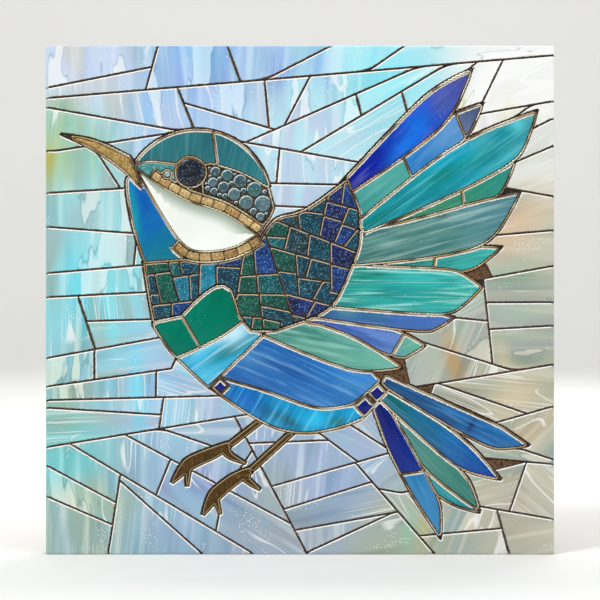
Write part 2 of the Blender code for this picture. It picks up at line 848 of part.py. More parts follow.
def relief(name, plate, raised, back, level, top, finish):
    # A plate from back to level with areas raised from level to top, as one closed body.
    points, triangles, holders = overlay(plate + raised)
    plate_count = len(plate)
    low = []
    high = []
    for triangle, holder in zip(triangles, holders):
        if sum(1 for index in holder if index < plate_count) % 2 == 0:
            continue
        on_top = any(index >= plate_count for index in holder)
        (high if on_top else low).append(triangle)
    bm = bmesh.new()
    made = {}

    def vertex(index, depth):
        if (index, depth) not in made:
            made[(index, depth)] = bm.verts.new((points[index].x, -depth, points[index].y))
        return made[(index, depth)]

    def wall(edges, start, end):
        for a, b in edges:
            bm.faces.new((vertex(a, start), vertex(b, start), vertex(b, end), vertex(a, end)))

    border = borders(low + high)
    for triangle in low:
        bm.faces.new([vertex(index, level) for index in triangle])
    for triangle in high:
        bm.faces.new([vertex(index, top) for index in triangle])
    wall(borders(high), level, top)
    wall(border, back, level)
    ring_numbers = loops(border)
    order = [index for ring in ring_numbers for index in ring]
    rings = [[points[index] for index in ring] for ring in ring_numbers]
    flat_points, flat, flat_holders = overlay(rings)
    for triangle, holder in zip(flat, flat_holders):
        if len(holder) % 2 == 1:
            corners = [min(order, key=lambda i: (points[i] - flat_points[t]).length) for t in triangle]
            bm.faces.new([vertex(index, back) for index in reversed(corners)])
    return add_object(name, bm, finish)


def slab(name, outlines, back, front, finish):
    # A flat piece between two depths.
    points, triangles, holders = overlay(outlines)
    kept = [triangle for triangle, holder in zip(triangles, holders) if len(holder) % 2 == 1]
    bm = bmesh.new()
    near = {}
    far = {}
    for index in sorted({index for triangle in kept for index in triangle}):
        near[index] = bm.verts.new((points[index].x, -front, points[index].y))
        far[index] = bm.verts.new((points[index].x, -back, points[index].y))
    for triangle in kept:
        bm.faces.new([near[index] for index in triangle])
        bm.faces.new([far[index] for index in reversed(triangle)])
    for a, b in borders(kept):
        bm.faces.new((far[a], far[b], near[b], near[a]))
    return add_object(name, bm, finish)


def shaped_piece(name, outline, back, front, rim, rise, finish):
    # A piece whose face rises or dips inside its rim.
    bm = bmesh.new()
    loop = outline if area(outline) > 0 else outline[::-1]
    far = [bm.verts.new((point.x, -back, point.y)) for point in loop]
    near = [bm.verts.new((point.x, -front, point.y)) for point in loop]
    bm.faces.new(far[::-1])
    face = bm.faces.new(near)
    for index in range(len(loop)):
        following = (index + 1) % len(loop)
        bm.faces.new((far[index], far[following], near[following], near[index]))
    bm.normal_update()
    bmesh.ops.inset_individual(bm, faces=[face], thickness=rim, depth=rise)
    return add_object(name, bm, finish)


def build_tile(finish):
    # The clay body, with long shallow recesses that leave a rib up the middle of its back.
    half = tile_side / 2
    pairs = max(1, round((half - key_rim + key_rib / 2) / key_pitch))
    step = (half - key_rim + key_rib / 2) / pairs
    recesses = []
    for index in range(-pairs, pairs):
        low = index * step + key_rib / 2
        high = (index + 1) * step - key_rib / 2
        recesses.append(
            [Vector((low, key_rim - half)), Vector((high, key_rim - half)),
             Vector((high, half - key_rim)), Vector((low, half - key_rim))]
        )
    bm = bmesh.new()
    inner = [point * (1 - arris / half) for point in square()]
    points, triangles, holders = overlay([inner] + recesses)
    made = {}

    def vertex(index, depth):
        if (index, depth) not in made:
            made[(index, depth)] = bm.verts.new((points[index].x, -depth, points[index].y))
        return made[(index, depth)]

    keyed = [triangle for triangle, holder in zip(triangles, holders) if len(holder) > 1]
    plain = [triangle for triangle, holder in zip(triangles, holders) if len(holder) == 1]
    for triangle in plain:
        bm.faces.new([vertex(index, 0.0) for index in reversed(triangle)])
    for triangle in keyed:
        bm.faces.new([vertex(index, key_depth) for index in reversed(triangle)])
    for a, b in borders(keyed):
        bm.faces.new((vertex(b, 0.0), vertex(a, 0.0), vertex(a, key_depth), vertex(b, key_depth)))
    edge = loops(borders(plain + keyed))[0]
    side = [bm.verts.new((point.x, -arris, point.y)) for point in square()]
    front = [bm.verts.new((point.x, -tile_thickness, point.y)) for point in square()]
    back = []
    for point in square():
        nearest = min(edge, key=lambda index: (points[index] - point).length)
        back.append(vertex(nearest, 0.0))
    bm.faces.new(front)
    for index in range(4):
        following = (index + 1) % 4
        bm.faces.new((back[index], back[following], side[following], side[index]))
        bm.faces.new((side[index], side[following], front[following], front[index]))
    return add_object("ceramic_tile", bm, finish)


# Colour, roughness and metallic value of each finish
finish_values = {
    "biscuit": ((0.72, 0.66, 0.58), 0.85, 0.0),
    "gold_leaf": ((0.80, 0.56, 0.22), 0.35, 1.0),
    "bronze": ((0.22, 0.13, 0.05), 0.45, 0.8),
    "opal_glass": ((0.62, 0.74, 0.80), 0.15, 0.0),
    "glitter_glaze": ((0.03, 0.10, 0.25), 0.25, 0.1),
    "white_glaze": ((0.90, 0.88, 0.84), 0.10, 0.0),
    "eye_glaze": ((0.01, 0.02, 0.05), 0.10, 0.0),
    "pearl_glaze": ((0.55, 0.70, 0.80), 0.20, 0.0),
    "dark_teal_glass": ((0.03, 0.16, 0.20), 0.15, 0.0),
    "cerulean_glass": ((0.02, 0.20, 0.50), 0.15, 0.0),
    "cobalt_glass": ((0.01, 0.03, 0.35), 0.15, 0.0),
    "emerald_glass": ((0.01, 0.24, 0.20), 0.15, 0.0),
    "aqua_glass": ((0.20, 0.55, 0.60), 0.15, 0.0),
    "blue_glass": ((0.05, 0.25, 0.58), 0.15, 0.0),
    "periwinkle_glass": ((0.25, 0.38, 0.70), 0.15, 0.0),
    "sea_green_glass": ((0.10, 0.42, 0.40), 0.15, 0.0),
    "grey_teal_glass": ((0.30, 0.48, 0.50), 0.15, 0.0),
}

# The glass of each piece, by the start of its name
glass_names = {
    "crown": "dark_teal_glass",
    "lore": "sea_green_glass",
    "throat": "cerulean_glass",
    "cobalt": "cobalt_glass",
    "breast": "emerald_glass",
    "aqua": "aqua_glass",
    "flank": "blue_glass",
    "belly": "cerulean_glass",
    "wing_feather_01": "cobalt_glass",
    "wing_feather_02_root": "sea_green_glass",
    "wing_feather_02": "periwinkle_glass",
    "wing_feather_03": "sea_green_glass",
    "wing_feather_04": "sea_green_glass",
    "wing_feather_05": "grey_teal_glass",
    "wing_feather_06": "sea_green_glass",
    "wing_feather_07": "sea_green_glass",
    "wing_feather_08": "periwinkle_glass",
    "wing_feather_09_tip": "sea_green_glass",
    "wing_feather_09": "periwinkle_glass",
    "wing_feather_10": "sea_green_glass",
    "tail_feather_2_root": "sea_green_glass",
    "tail_feather_2": "blue_glass",
    "tail_feather_3": "sea_green_glass",
    "tail_feather_4": "sea_green_glass",
    "tail_feather_5_root": "cobalt_glass",
    "tail": "blue_glass",
}


def glass_of(name):
    return next(glass for start, glass in glass_names.items() if name.startswith(start))


def build():
    for made in list(bpy.data.objects):
        bpy.data.objects.remove(made)
    finishes = {name: material(name, *values) for name, values in finish_values.items()}
    picture = Picture(picture_fields())
    picture.outlines()
    build_tile(finishes["biscuit"])
    front = glass_back + bird_glass
    beds = {
        "mantle_tesserae": finishes["glitter_glaze"],
        "ear_beads": finishes["glitter_glaze"],
        "brow_tesserae": finishes["gold_leaf"],
        "collar_tesserae": finishes["gold_leaf"],
    }
    for name, finish in beds.items():
        raised = [
            piece["outlines"][0]
            for piece in picture.pieces.values()
            if piece["field"] == name and piece["name"] != name and piece["outlines"]
        ]
        plate = picture.field_outline(name)
        relief(name, plate, raised, glass_back, glass_back + tessera_bed, front, finish)
    shards = []
    for piece in picture.pieces.values():
        kind = picture.fields[piece["field"]].kind
        name = piece["name"]
        if piece["field"] in beds or not piece["outlines"]:
            continue
        outline = piece["outlines"][0]
        if kind == "ground":
            shards += [outline for outline in piece["outlines"] if area(outline) > smallest_shard / 3]
        elif kind == "leg":
            slab(name, [outline], glass_back, glass_back + leg_thickness, finishes["bronze"])
        elif name == "cheek":
            shaped_piece(name, outline, glass_back, front, cheek_rim, -cheek_dish, finishes["white_glaze"])
        elif name in ("eye", "lore_pearl"):
            rim, finish = (eye_rim, "eye_glaze") if name == "eye" else (pearl_rim, "pearl_glaze")
            shaped_piece(name, outline, glass_back, front, rim, eye_rise, finishes[finish])
        elif name == "beak":
            slab(name, [outline], glass_back, front, finishes["gold_leaf"])
        else:
            slab(name, [outline], glass_back, front, finishes[glass_of(name)])
    opal = finishes["opal_glass"]
    shards.sort(key=lambda outline: -area(outline))
    ground_front = bed_front + ground_glass
    largest = sorted(shards[:large_shards], key=lambda outline: -max(point.y for point in outline))
    for index, outline in enumerate(largest):
        slab("ground_shard_%02d" % (index + 1), [outline], glass_back, ground_front, opal)
    relief("ground_mosaic", [square()], shards[large_shards:], bed_back, bed_front, ground_front, opal)
    slab("gilt_wire", picture.wire_outlines(), glass_back, glass_back + wire_height, finishes["gold_leaf"])


build()
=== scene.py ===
import bpy
import json
import math
import random
import numpy as np
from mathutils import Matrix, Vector, noise
from mathutils.geometry import delaunay_2d_cdt


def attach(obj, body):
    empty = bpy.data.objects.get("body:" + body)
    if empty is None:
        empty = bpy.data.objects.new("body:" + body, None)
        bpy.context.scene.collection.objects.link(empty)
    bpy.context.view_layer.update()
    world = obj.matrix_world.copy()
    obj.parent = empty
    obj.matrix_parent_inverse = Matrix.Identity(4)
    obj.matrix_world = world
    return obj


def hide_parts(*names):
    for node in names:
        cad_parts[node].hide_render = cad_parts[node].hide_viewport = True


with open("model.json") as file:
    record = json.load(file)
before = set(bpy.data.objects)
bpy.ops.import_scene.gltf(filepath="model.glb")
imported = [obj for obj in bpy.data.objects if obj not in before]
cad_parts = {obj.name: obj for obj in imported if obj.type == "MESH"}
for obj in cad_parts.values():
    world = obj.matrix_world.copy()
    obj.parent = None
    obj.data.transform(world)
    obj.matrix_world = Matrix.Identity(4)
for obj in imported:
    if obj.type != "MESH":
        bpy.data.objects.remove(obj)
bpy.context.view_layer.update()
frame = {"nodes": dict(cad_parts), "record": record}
nodes = frame["nodes"]
scene = bpy.context.scene
mm = 0.001
borderLine = 0.1492  # from here outwards a point lies on the tile's own border
leastStep = 0.08 * mm  # points of an outline that lie closer are joined
widestCurve = 7 * mm
litSide = np.array([-0.35, 0.94])  # where the light on an edge comes from, in x and z


def colour(code):  # a hex colour as linear values
    parts = [int(code[i:i + 2], 16) / 255 for i in (0, 2, 4)]
    return [p / 12.92 if p < 0.04045 else ((p + 0.055) / 1.055) ** 2.4 for p in parts] + [1.0]


# outlines of the frame's flat pieces, in x and z

def linkRings(edges):
    following = {}
    for a, b in edges:
        following.setdefault(a, []).append(b)
    rings = []
    while following:
        ring = [min(following)]
        while ring[-1] in following:
            choices = following[ring[-1]]
            step = choices.pop()
            if not choices:
                del following[ring[-1]]
            if step in ring:
                place = ring.index(step)
                rings.append(ring[place:])
                ring = ring[:place + 1]
            else:
                ring.append(step)
    return [ring for ring in rings if len(ring) > 2]


def looseEdges(triangles):
    edges = {(t[i], t[(i + 1) % 3]) for t in triangles for i in range(3)}
    return sorted(edge for edge in edges if (edge[1], edge[0]) not in edges)


def ringsOf(node, side="front"):  # the borders of a node's front or back face, counter-clockwise
    mesh = nodes[node].data
    mesh.calc_loop_triangles()
    places = np.array([v.co for v in mesh.vertices])
    keys = [tuple(k) for k in np.round(places * 1e6).astype(int)]
    first = {}
    for index, key in enumerate(keys):
        first.setdefault(key, index)
    level = places[:, 1].min() if side == "front" else places[:, 1].max()
    found = []
    for triangle in mesh.loop_triangles:
        corners = [first[keys[i]] for i in triangle.vertices]
        if len(set(corners)) == 3 and all(abs(places[i][1] - level) < 1e-5 for i in corners):
            (ax, az), (bx, bz), (cx, cz) = [places[i][[0, 2]] for i in corners]
            turn = (bx - ax) * (cz - az) - (bz - az) * (cx - ax)
            found.append(corners if turn > 0 else corners[::-1])
    rings = [places[ring][:, [0, 2]] for ring in linkRings(looseEdges(found))]
    return [ring for ring in rings if ringArea(ring) > 0]


def ringArea(ring):
    following = np.roll(ring, -1, axis=0)
    return float((ring[:, 0] * following[:, 1] - ring[:, 1] * following[:, 0]).sum() / 2)


def softRing(ring, corner=0.4 * mm, longest=1.3 * mm, sharp=33):
    # the faceted outline drawn again with smooth curves, true corners kept small
    line = []
    for a, b, c in zip(np.roll(ring, 1, axis=0), ring, np.roll(ring, -1, axis=0)):
        u, v = b - a, c - b
        lengthU, lengthV = np.hypot(*u), np.hypot(*v)
        turn = math.degrees(abs(math.atan2(u[0] * v[1] - u[1] * v[0], u @ v)))
        reach = min(lengthU, lengthV) / 2.02
        reach = min(reach, corner if turn > sharp else widestCurve)
        start, end = b - u / lengthU * reach, b + v / lengthV * reach
        for t in (0, 0.25, 0.5, 0.75, 1):
            line.append(start * (1 - t) ** 2 + b * 2 * t * (1 - t) + end * t * t)
    kept = [line[0]]
    for point in line[1:]:
        if np.hypot(*(point - kept[-1])) > leastStep:
            kept.append(point)
    if np.hypot(*(kept[-1] - kept[0])) < leastStep:
        kept.pop()
    fine = []
    for a, b in zip(kept, kept[1:] + kept[:1]):
        count = max(1, math.ceil(np.hypot(*(b - a)) / longest))
        fine += [a + (b - a) * i / count for i in range(count)]
    return np.array(fine)


def distanceTo(ring, points, nearest=None):
    a, ab = ring, np.roll(ring, -1, axis=0) - ring
    best = np.full(len(points), 1e9)
    for start in range(0, len(points), 400):
        p = points[start:start + 400, None, :]
        t = (((p - a) * ab).sum(2) / (ab * ab).sum(1)).clip(0, 1)
        gap = np.sqrt(((a + t[..., None] * ab - p) ** 2).sum(2))
        best[start:start + 400] = gap.min(1)
        if nearest is not None:
            nearest[start:start + 400] = gap.argmin(1)
    return best


def edgeLight(ring, nearest):  # 1 where the nearest edge looks up to the light, 0 where it looks down
    edge = np.roll(ring, -1, axis=0) - ring
    outward = np.stack([edge[:, 1], -edge[:, 0]], 1) / np.hypot(*edge.T)[:, None].clip(1e-9)
    return ((outward @ litSide) * 0.5 + 0.5)[nearest]


def isInside(ring, points):
    a, b = ring, np.roll(ring, -1, axis=0)
    inside = np.zeros(len(points), bool)
    for (ax, az), (bx, bz) in zip(a, b):
        if az != bz:
            cross = ax + (bx - ax) * (points[:, 1] - az) / (bz - az)
            inside ^= ((az > points[:, 1]) != (bz > points[:, 1])) & (points[:, 0] < cross)
    return inside


def sideways(ring):  # a mitred inward direction at each point of a ring
    u = ring - np.roll(ring, 1, axis=0)
    v = np.roll(u, -1, axis=0)
    u = u / np.hypot(*u.T)[:, None]
    v = v / np.hypot(*v.T)[:, None]
    normal = np.stack([-(u + v)[:, 1], (u + v)[:, 0]], 1)
    size = np.hypot(*normal.T)[:, None].clip(1e-6)
    return normal / size / (size / 2).clip(0.4)


def grown(ring, amount, ragged=0.0, seed=0):  # the outline moved outwards, but not over the tile's border
    reach = amount + ragged * rippled(ring, 900, seed)
    inner = (np.abs(ring) < borderLine).all(1)
    return ring - sideways(ring) * (reach * inner)[:, None]


def poured(colours, places, pools):
    # soft pools of another colour: place, reach along and across in millimetres, turn, colour
    for (x, z), along, across, turn, code in pools:
        c, s = math.cos(math.radians(turn)), math.sin(math.radians(turn))
        dx, dz = places[:, 0] / mm - x, places[:, 1] / mm - z
        weight = np.exp(-((dx * c + dz * s) / along) ** 2 - ((dz * c - dx * s) / across) ** 2)[:, None]
        colours = colours * (1 - weight) + np.array(colour(code)) * weight
    return colours


def hexGrid(ring, pitch):
    low, high = ring.min(0), ring.max(0)
    rows = np.arange(low[1], high[1], pitch * 0.87)
    columns = np.arange(low[0], high[0], pitch)
    points = [(x + (row % 2) * pitch / 2, z) for row, z in enumerate(rows) for x in columns]
    return np.array(points) if points else np.zeros((0, 2))


# solid pieces with a shaped face

slots = {item["node"]: item["material_slot"] for item in frame["record"]["subparts"]}
glassBack = 8.3 * mm  # where the back of the bird's pieces lies, sunk in the mortar
# millimetres from the edge, share of light on it, strength, place along the grain, three colours
meshFields = ("rim", "lit", "tone", "grain", "body", "second", "streak")


def largestRing(node):
    return max(ringsOf(node, "back"), key=ringArea)


def rounded(rim, radius):  # how far a round edge falls below its face
    return np.sqrt((radius * radius - (radius - rim.clip(0, radius)) ** 2).clip(0)) - radius


def rising(rim, start, reach):  # 0 at the edge, towards 1 inside
    return 1 - np.exp(-(rim - start).clip(0) / reach)


def roundPiece(ring):
    centre = ring.mean(0)
    return centre, np.hypot(*(ring - centre).T).mean()


def circle(centre, radius, count):
    angles = np.linspace(0, 2 * math.pi, count, endpoint=False)
    return centre + np.stack([np.cos(angles), np.sin(angles)], 1) * radius


def domed(radius, foot, top, fullness):  # a round piece that is fuller than a half ball
    def depth(rim, places):
        share = (1 - rim / radius).clip(0, 1)
        return foot + (top - foot) * np.sqrt((1 - share ** fullness).clip(0))

    return depth


def rippled(places, scale, seed):
    return np.array([noise.noise(Vector((x * scale, z * scale, seed))) for x, z in places])


def newHeap():
    return {key: [] for key in ("points", "faces") + meshFields}


def addSlab(heap, ring, faceDepth, offsets, pitch, paint, back=glassBack):
    # one closed piece: faceDepth(rim, xz) gives how far the face stands from the wall,
    # and its mesh has rows of points at offsets in millimetres from the outline
    offsets = [offset * mm for offset in offsets]
    inward = sideways(ring)
    sets = [ring]
    for offset in offsets:
        moved = ring + inward * offset
        keep = isInside(ring, moved) & (distanceTo(ring, moved) > offset * 0.93)
        sets.append(moved[keep])
    grid = hexGrid(ring, pitch)
    if len(grid):
        keep = isInside(ring, grid) & (distanceTo(ring, grid) > offsets[-1] + pitch * 0.45)
        sets.append(grid[keep])
    count = len(ring)
    edges = [(i, (i + 1) % count) for i in range(count)]
    laid = delaunay_2d_cdt([Vector(p) for p in np.concatenate(sets)], edges, [], 0, 1e-7)
    places = np.array([p[:] for p in laid[0]])
    triangles = [list(face) for face in laid[2]]
    middles = np.array([places[t].mean(0) for t in triangles])
    kept = isInside(ring, middles)
    triangles = [t for t, k in zip(triangles, kept) if k]
    nearest = np.zeros(len(places), int)
    rim = distanceTo(ring, places, nearest)
    rim[rim < 1e-6] = 0
    lit = edgeLight(ring, nearest)
    depth = faceDepth(rim, places)
    start = len(heap["points"])
    border = linkRings(looseEdges(triangles))
    low = [index for loop in border for index in loop]
    lowAt = {index: start + len(places) + place for place, index in enumerate(low)}
    heap["points"] += [(x, -d, z) for (x, z), d in zip(places, depth)]
    heap["points"] += [(places[index][0], -back, places[index][1]) for index in low]
    heap["faces"] += [[start + i for i in t] for t in triangles]
    for loop in border:
        for a, b in zip(loop, loop[1:] + loop[:1]):
            heap["faces"].append([lowAt[a], lowAt[b], start + b, start + a])
        heap["faces"].append([lowAt[index] for index in reversed(loop)])
    order = list(range(len(places))) + low
    painted = paint(rim, places)
    for key in ("tone", "grain", "body", "second", "streak"):
        heap[key] += [painted[key][index] for index in order]
    outer = (np.abs(ring) > borderLine) & (np.abs(np.roll(ring, -1, axis=0)) > borderLine)
    rim = np.where(outer.any(1)[nearest], 9 * mm, rim)  # the tile's own border has no seam
    heap["rim"] += [rim[index] / mm for index in order]
    heap["lit"] += [lit[index] for index in order]


def addMesh(name, heap, material, node, sharp=38):
    mesh = bpy.data.meshes.new(name)
    mesh.from_pydata([tuple(p) for p in heap["points"]], [], heap["faces"])
    kinds = {"rim": "FLOAT", "lit": "FLOAT", "tone": "FLOAT", "grain": "FLOAT_VECTOR"}
    for key in meshFields:
        if heap.get(key):
            kind = kinds.get(key, "FLOAT_COLOR")
            field = {"FLOAT": "value", "FLOAT_VECTOR": "vector", "FLOAT_COLOR": "color"}[kind]
            layer = mesh.attributes.new(key, kind, "POINT")
            layer.data.foreach_set(field, np.array(heap[key], np.float32).ravel())
    mesh.validate()
    mesh.shade_smooth()
    mesh.set_sharp_from_angle(angle=math.radians(sharp))
    mesh.materials.append(material)
    made = bpy.data.objects.new(name, mesh)
    scene.collection.objects.link(made)
    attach(made, "root")
    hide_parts(node)


def turned(places, angle, seed):  # pattern coordinates in millimetres, x along the grain
    c, s = math.cos(math.radians(angle)), math.sin(math.radians(angle))
    x, z = places[:, 0] / mm, places[:, 1] / mm
    return np.stack([x * c + z * s, z * c - x * s, np.full(len(x), seed * 37.0)], 1)


def longAxis(ring):
    x, z = np.linalg.eigh(np.cov((ring - ring.mean(0)).T))[1][:, 1]
    return math.degrees(math.atan2(z, x))


# shader helpers

class Shader:
    def __init__(self, name, **values):
        self.material = bpy.data.materials.new(name)
        self.material.use_nodes = True
        self.tree = self.material.node_tree
        self.skin = self.tree.nodes["Principled BSDF"]
        for key, value in values.items():
            self.skin.inputs[key.replace("_", " ")].default_value = value

    def add(self, kind, inputs, **settings):
        made = self.tree.nodes.new("ShaderNode" + kind)
        for key, value in settings.items():
            setattr(made, key, value)
        for key, value in inputs.items():
            self.link(value, made.inputs[key])
        return made.outputs

    def link(self, value, socket):
        if isinstance(value, bpy.types.NodeSocket):
            self.tree.links.new(value, socket)
        else:
            socket.default_value = value

    def place(self):  # metres in the piece's own frame
        return self.add("TexCoord", {})["Object"]

    def attribute(self, name):
        kinds = {"grain": "Vector", "rim": "Fac", "lit": "Fac", "tone": "Fac"}
        return self.add("Attribute", {}, attribute_name=name)[kinds.get(name, "Color")]

    def attributes(self, *names):
        return [self.attribute(name) for name in names]

    def math(self, kind, a, b=0.0):
        return self.add("Math", {0: a, 1: b}, operation=kind)[0]

    def times(self, a, b):
        return self.math("MULTIPLY", a, b)

    def noise(self, vector, scale=1.0, detail=2.0, distortion=0.0):  # a row as scale stretches the pattern
        if isinstance(scale, tuple):
            factors = scale if len(scale) == 3 else scale + (1.0,)
            vector = self.add("VectorMath", {0: vector, 1: factors}, operation="MULTIPLY")[0]
            scale = 1.0
        inputs = {"Vector": vector, "Scale": scale, "Detail": detail, "Distortion": distortion}
        return self.add("TexNoise", inputs)["Fac"]

    def cells(self, vector, scale):
        return self.add("TexVoronoi", {"Vector": vector, "Scale": scale})

    def band(self, value, low, high, top=1.0):  # 0 below low, top above high, smooth between
        inputs = {"Value": value, "From Min": low, "From Max": high, "To Max": top}
        return self.add("MapRange", inputs, interpolation_type="SMOOTHSTEP")["Result"]

    def under(self, value, low, high):  # 1 below low, 0 above high
        return self.math("SUBTRACT", 1.0, self.band(value, low, high))

    def mix(self, factor, a, b, kind="MIX"):
        return self.add("Mix", {"Factor": factor, 6: a, 7: b}, data_type="RGBA", blend_type=kind)[2]

    def over(self, base, where, tint, amount=None):  # another colour laid over the base
        if amount is not None:
            where = self.times(where, amount)
        return self.mix(where, base, colour(tint) if isinstance(tint, str) else tint)

    def edge(self, base, width, light, dark, narrow=1.0):
        # a painted highlight line on edges that face the light and a painted shade line, narrower by so
        # much, on the others
        rim, lit, grain = self.attributes("rim", "lit", "grain")
        ragged = self.times(self.noise(grain, 0.7, 3.0), width * 0.9)
        shone = self.band(lit, 0.45, 0.70)
        rim = self.times(rim, self.math("SUBTRACT", narrow, self.times(shone, narrow - 1.0)))
        line = self.under(self.math("SUBTRACT", rim, ragged), width * 0.15, width * 0.5)
        tone = self.mix(shone, colour(dark), colour(light))
        return self.mix(line, base, tone)

    def bump(self, height, strength, distance):
        inputs = {"Height": height, "Strength": strength, "Distance": distance}
        return self.add("Bump", inputs)["Normal"]

    def finish(self, base, roughness=None, normal=None, metallic=None):
        self.link(base, self.skin.inputs["Base Color"])
        for value, key in ((roughness, "Roughness"), (normal, "Normal"), (metallic, "Metallic")):
            if value is not None:
                self.link(value, self.skin.inputs[key])
        return self.material


# camera, floor and light

stageLook = {"floor": "f0efeb", "radius": 4.0, "shown": 0.354, "lens": 100, "level": -0.1502,
             "sky": 0.42, "skyTint": (0.95, 0.97, 1.0, 1), "mottle": "efeeea", "sides": 64}
lights = {
    "keyBox": {"at": (-0.85, -0.85, 1.30), "size": 0.40, "power": 13.4},
    "fillBox": {"at": (1.25, -1.05, 0.25), "size": 1.1, "power": 5},
    "topBox": {"at": (0.1, -0.30, 1.35), "size": 0.6, "power": 6},
    "backBox": {"at": (0.7, 1.5, 1.1), "size": 1.1, "power": 6},
    "wallBox": {"at": (0.0, 0.9, 2.2), "size": 1.6, "power": 44, "to": (0.0, 3.6, 0.3)},
}


def buildStage():
    distance = stageLook["shown"] * stageLook["lens"] / 36
    camera = bpy.data.objects.new("camera", bpy.data.cameras.new("camera"))
    camera.data.lens = stageLook["lens"]
    camera.location = (0, -distance - 11.3 * mm, 0)
    camera.rotation_euler = (math.radians(90), 0, 0)
    scene.collection.objects.link(camera)
    scene.camera = camera
    for name, look in lights.items():
        lamp = bpy.data.lights.new(name, "AREA")
        lamp.size = look["size"]
        lamp.energy = look["power"]
        made = bpy.data.objects.new(name, lamp)
        made.location = look["at"]
        aim = Vector(look.get("to", (0, 0, 0))) - Vector(look["at"])
        made.rotation_euler = aim.to_track_quat("-Z", "Y").to_euler()
        scene.collection.objects.link(made)
    world = bpy.data.worlds.new("studio")
    world.use_nodes = True
    sky = world.node_tree.nodes["Background"]
    sky.inputs["Color"].default_value = stageLook["skyTint"]
    sky.inputs["Strength"].default_value = stageLook["sky"]
    scene.world = world
    radius, sides = stageLook["radius"], stageLook["sides"]
    profile = [(radius * t, 0) for t in (0.0, 0.25, 0.5, 0.7)]
    profile += [(radius * (0.7 + 0.3 * math.sin(a)), radius * 0.3 * (1 - math.cos(a)))
                for a in np.linspace(0.2, math.pi / 2, 8)]
    around = [(math.cos(2 * math.pi * s / sides), math.sin(2 * math.pi * s / sides)) for s in range(sides)]
    points = [(r * c, r * s, stageLook["level"] + h) for r, h in profile[1:] for c, s in around]
    faces = []
    for ring in range(len(profile) - 2):
        for s in range(sides):
            low, t = ring * sides, (s + 1) % sides
            faces.append([low + s, low + sides + s, low + sides + t, low + t])
    points.append((0, 0, stageLook["level"]))
    faces += [[len(points) - 1, s, (s + 1) % sides] for s in range(sides)]
    mesh = bpy.data.meshes.new("floor")
    mesh.from_pydata(points, [], faces)
    mesh.shade_smooth()
    floor = bpy.data.objects.new("floor", mesh)
    scene.collection.objects.link(floor)
    paper = Shader("floorPaper", Roughness=0.9)
    mottle = paper.noise(paper.place(), 3.0, 4.0)
    tones = [colour(stageLook[key]) for key in ("floor", "mottle")]
    paper.finish(paper.mix(paper.band(mottle, 0.3, 0.7), *tones))
    mesh.materials.append(paper.material)


buildStage()
print("stage ready")


# clay body and mortar

# the colour 9c8468 is painted shade on the floors of the recesses in the back
clayLook = {"clay": "cdbba2", "dark": "b39e82", "speck": "8a6f55", "dust": "9c8468", "key": 1.0 * mm,
            "roughness": 0.85}


def makeClay():
    clay = Shader("biscuitClay", Roughness=clayLook["roughness"])
    place = clay.place()
    cloud = clay.noise(place, 22, 5)
    specks = clay.cells(place, 420)["Distance"]
    base = clay.mix(clay.band(cloud, 0.35, 0.68), colour(clayLook["clay"]), colour(clayLook["dark"]))
    chance = clay.noise(place, 140, 2)
    dots = clay.times(clay.under(specks, 0.16, 0.28), clay.band(chance, 0.52, 0.6))
    base = clay.over(base, dots, clayLook["speck"], 0.7)
    depth = clay.add("SeparateXYZ", {0: place})[1]
    low = clay.math("ABSOLUTE", clay.math("ADD", depth, clayLook["key"]))
    # painted shade, mottled, on the floors of the recesses in the back
    dust = clay.math("SUBTRACT", 0.75, clay.band(low, 0.1 * mm, 0.3 * mm, 0.75))
    base = clay.over(base, dust, clayLook["dust"], clay.band(cloud, 0.1, 0.6))
    grit = clay.noise(place, 900, 3)
    return clay.finish(base, normal=clay.bump(grit, 0.35, 0.0002))


nodes["ceramic_tile"].data.materials.clear()
nodes["ceramic_tile"].data.materials.append(makeClay())

mortarLook = {"dark": "160c07", "bronze": "4c3018", "cream": "c9b48c", "top": 9.9 * mm, "rise": 0.25 * mm,
              "bottom": 7.0 * mm, "half": 0.15, "cells": 120, "worn": 0.5 * mm}


def makeMortar():
    mortar = Shader("darkMortar", Roughness=0.6)
    place = mortar.place()
    cloud = mortar.noise(place, 60, 4)
    glint = mortar.noise(place, 900, 3)
    dark, bronze = colour(mortarLook["dark"]), colour(mortarLook["bronze"])
    base = mortar.mix(mortar.band(cloud, 0.45, 0.7), dark, bronze)
    shine = mortar.times(mortar.band(glint, 0.55, 0.7), mortar.band(cloud, 0.4, 0.6))
    base = mortar.over(base, shine, mortarLook["cream"])
    normal = mortar.bump(glint, 0.5, 0.0003)
    return mortar.finish(base, metallic=mortar.times(shine, 0.8), normal=normal)


def buildMortar():
    half, count = mortarLook["half"], mortarLook["cells"]
    step = 2 * half / count
    points, faces = [], []
    for row in range(count + 1):
        for column in range(count + 1):
            x, z = -half + column * step, -half + row * step
            swell = noise.noise(Vector((x, z, 0)) * 260) * mortarLook["rise"]
            edge = min(row, column, count - row, count - column) == 0
            top = mortarLook["top"] + (-mortarLook["worn"] if edge else swell)
            points.append((x, -top, z))
    for row in range(count):
        for column in range(count):
            a = row * (count + 1) + column
            faces.append([a, a + 1, a + count + 2, a + count + 1])
    rim = [column for column in range(count)]
    rim += [row * (count + 1) + count for row in range(count)]
    rim += [count * (count + 1) + column for column in range(count, 0, -1)]
    rim += [row * (count + 1) for row in range(count, 0, -1)]
    low = len(points)
    points += [(points[i][0], -mortarLook["bottom"], points[i][2]) for i in rim]
    for place in range(len(rim)):
        following = (place + 1) % len(rim)
        faces.append([low + place, low + following, rim[following], rim[place]])
    faces.append([low + place for place in reversed(range(len(rim)))])
    heap = {"points": points, "faces": faces}
    addMesh("mortarBed", heap, makeMortar(), "ground_mosaic", 50)


buildMortar()
print("clay and mortar ready")


# opal ground

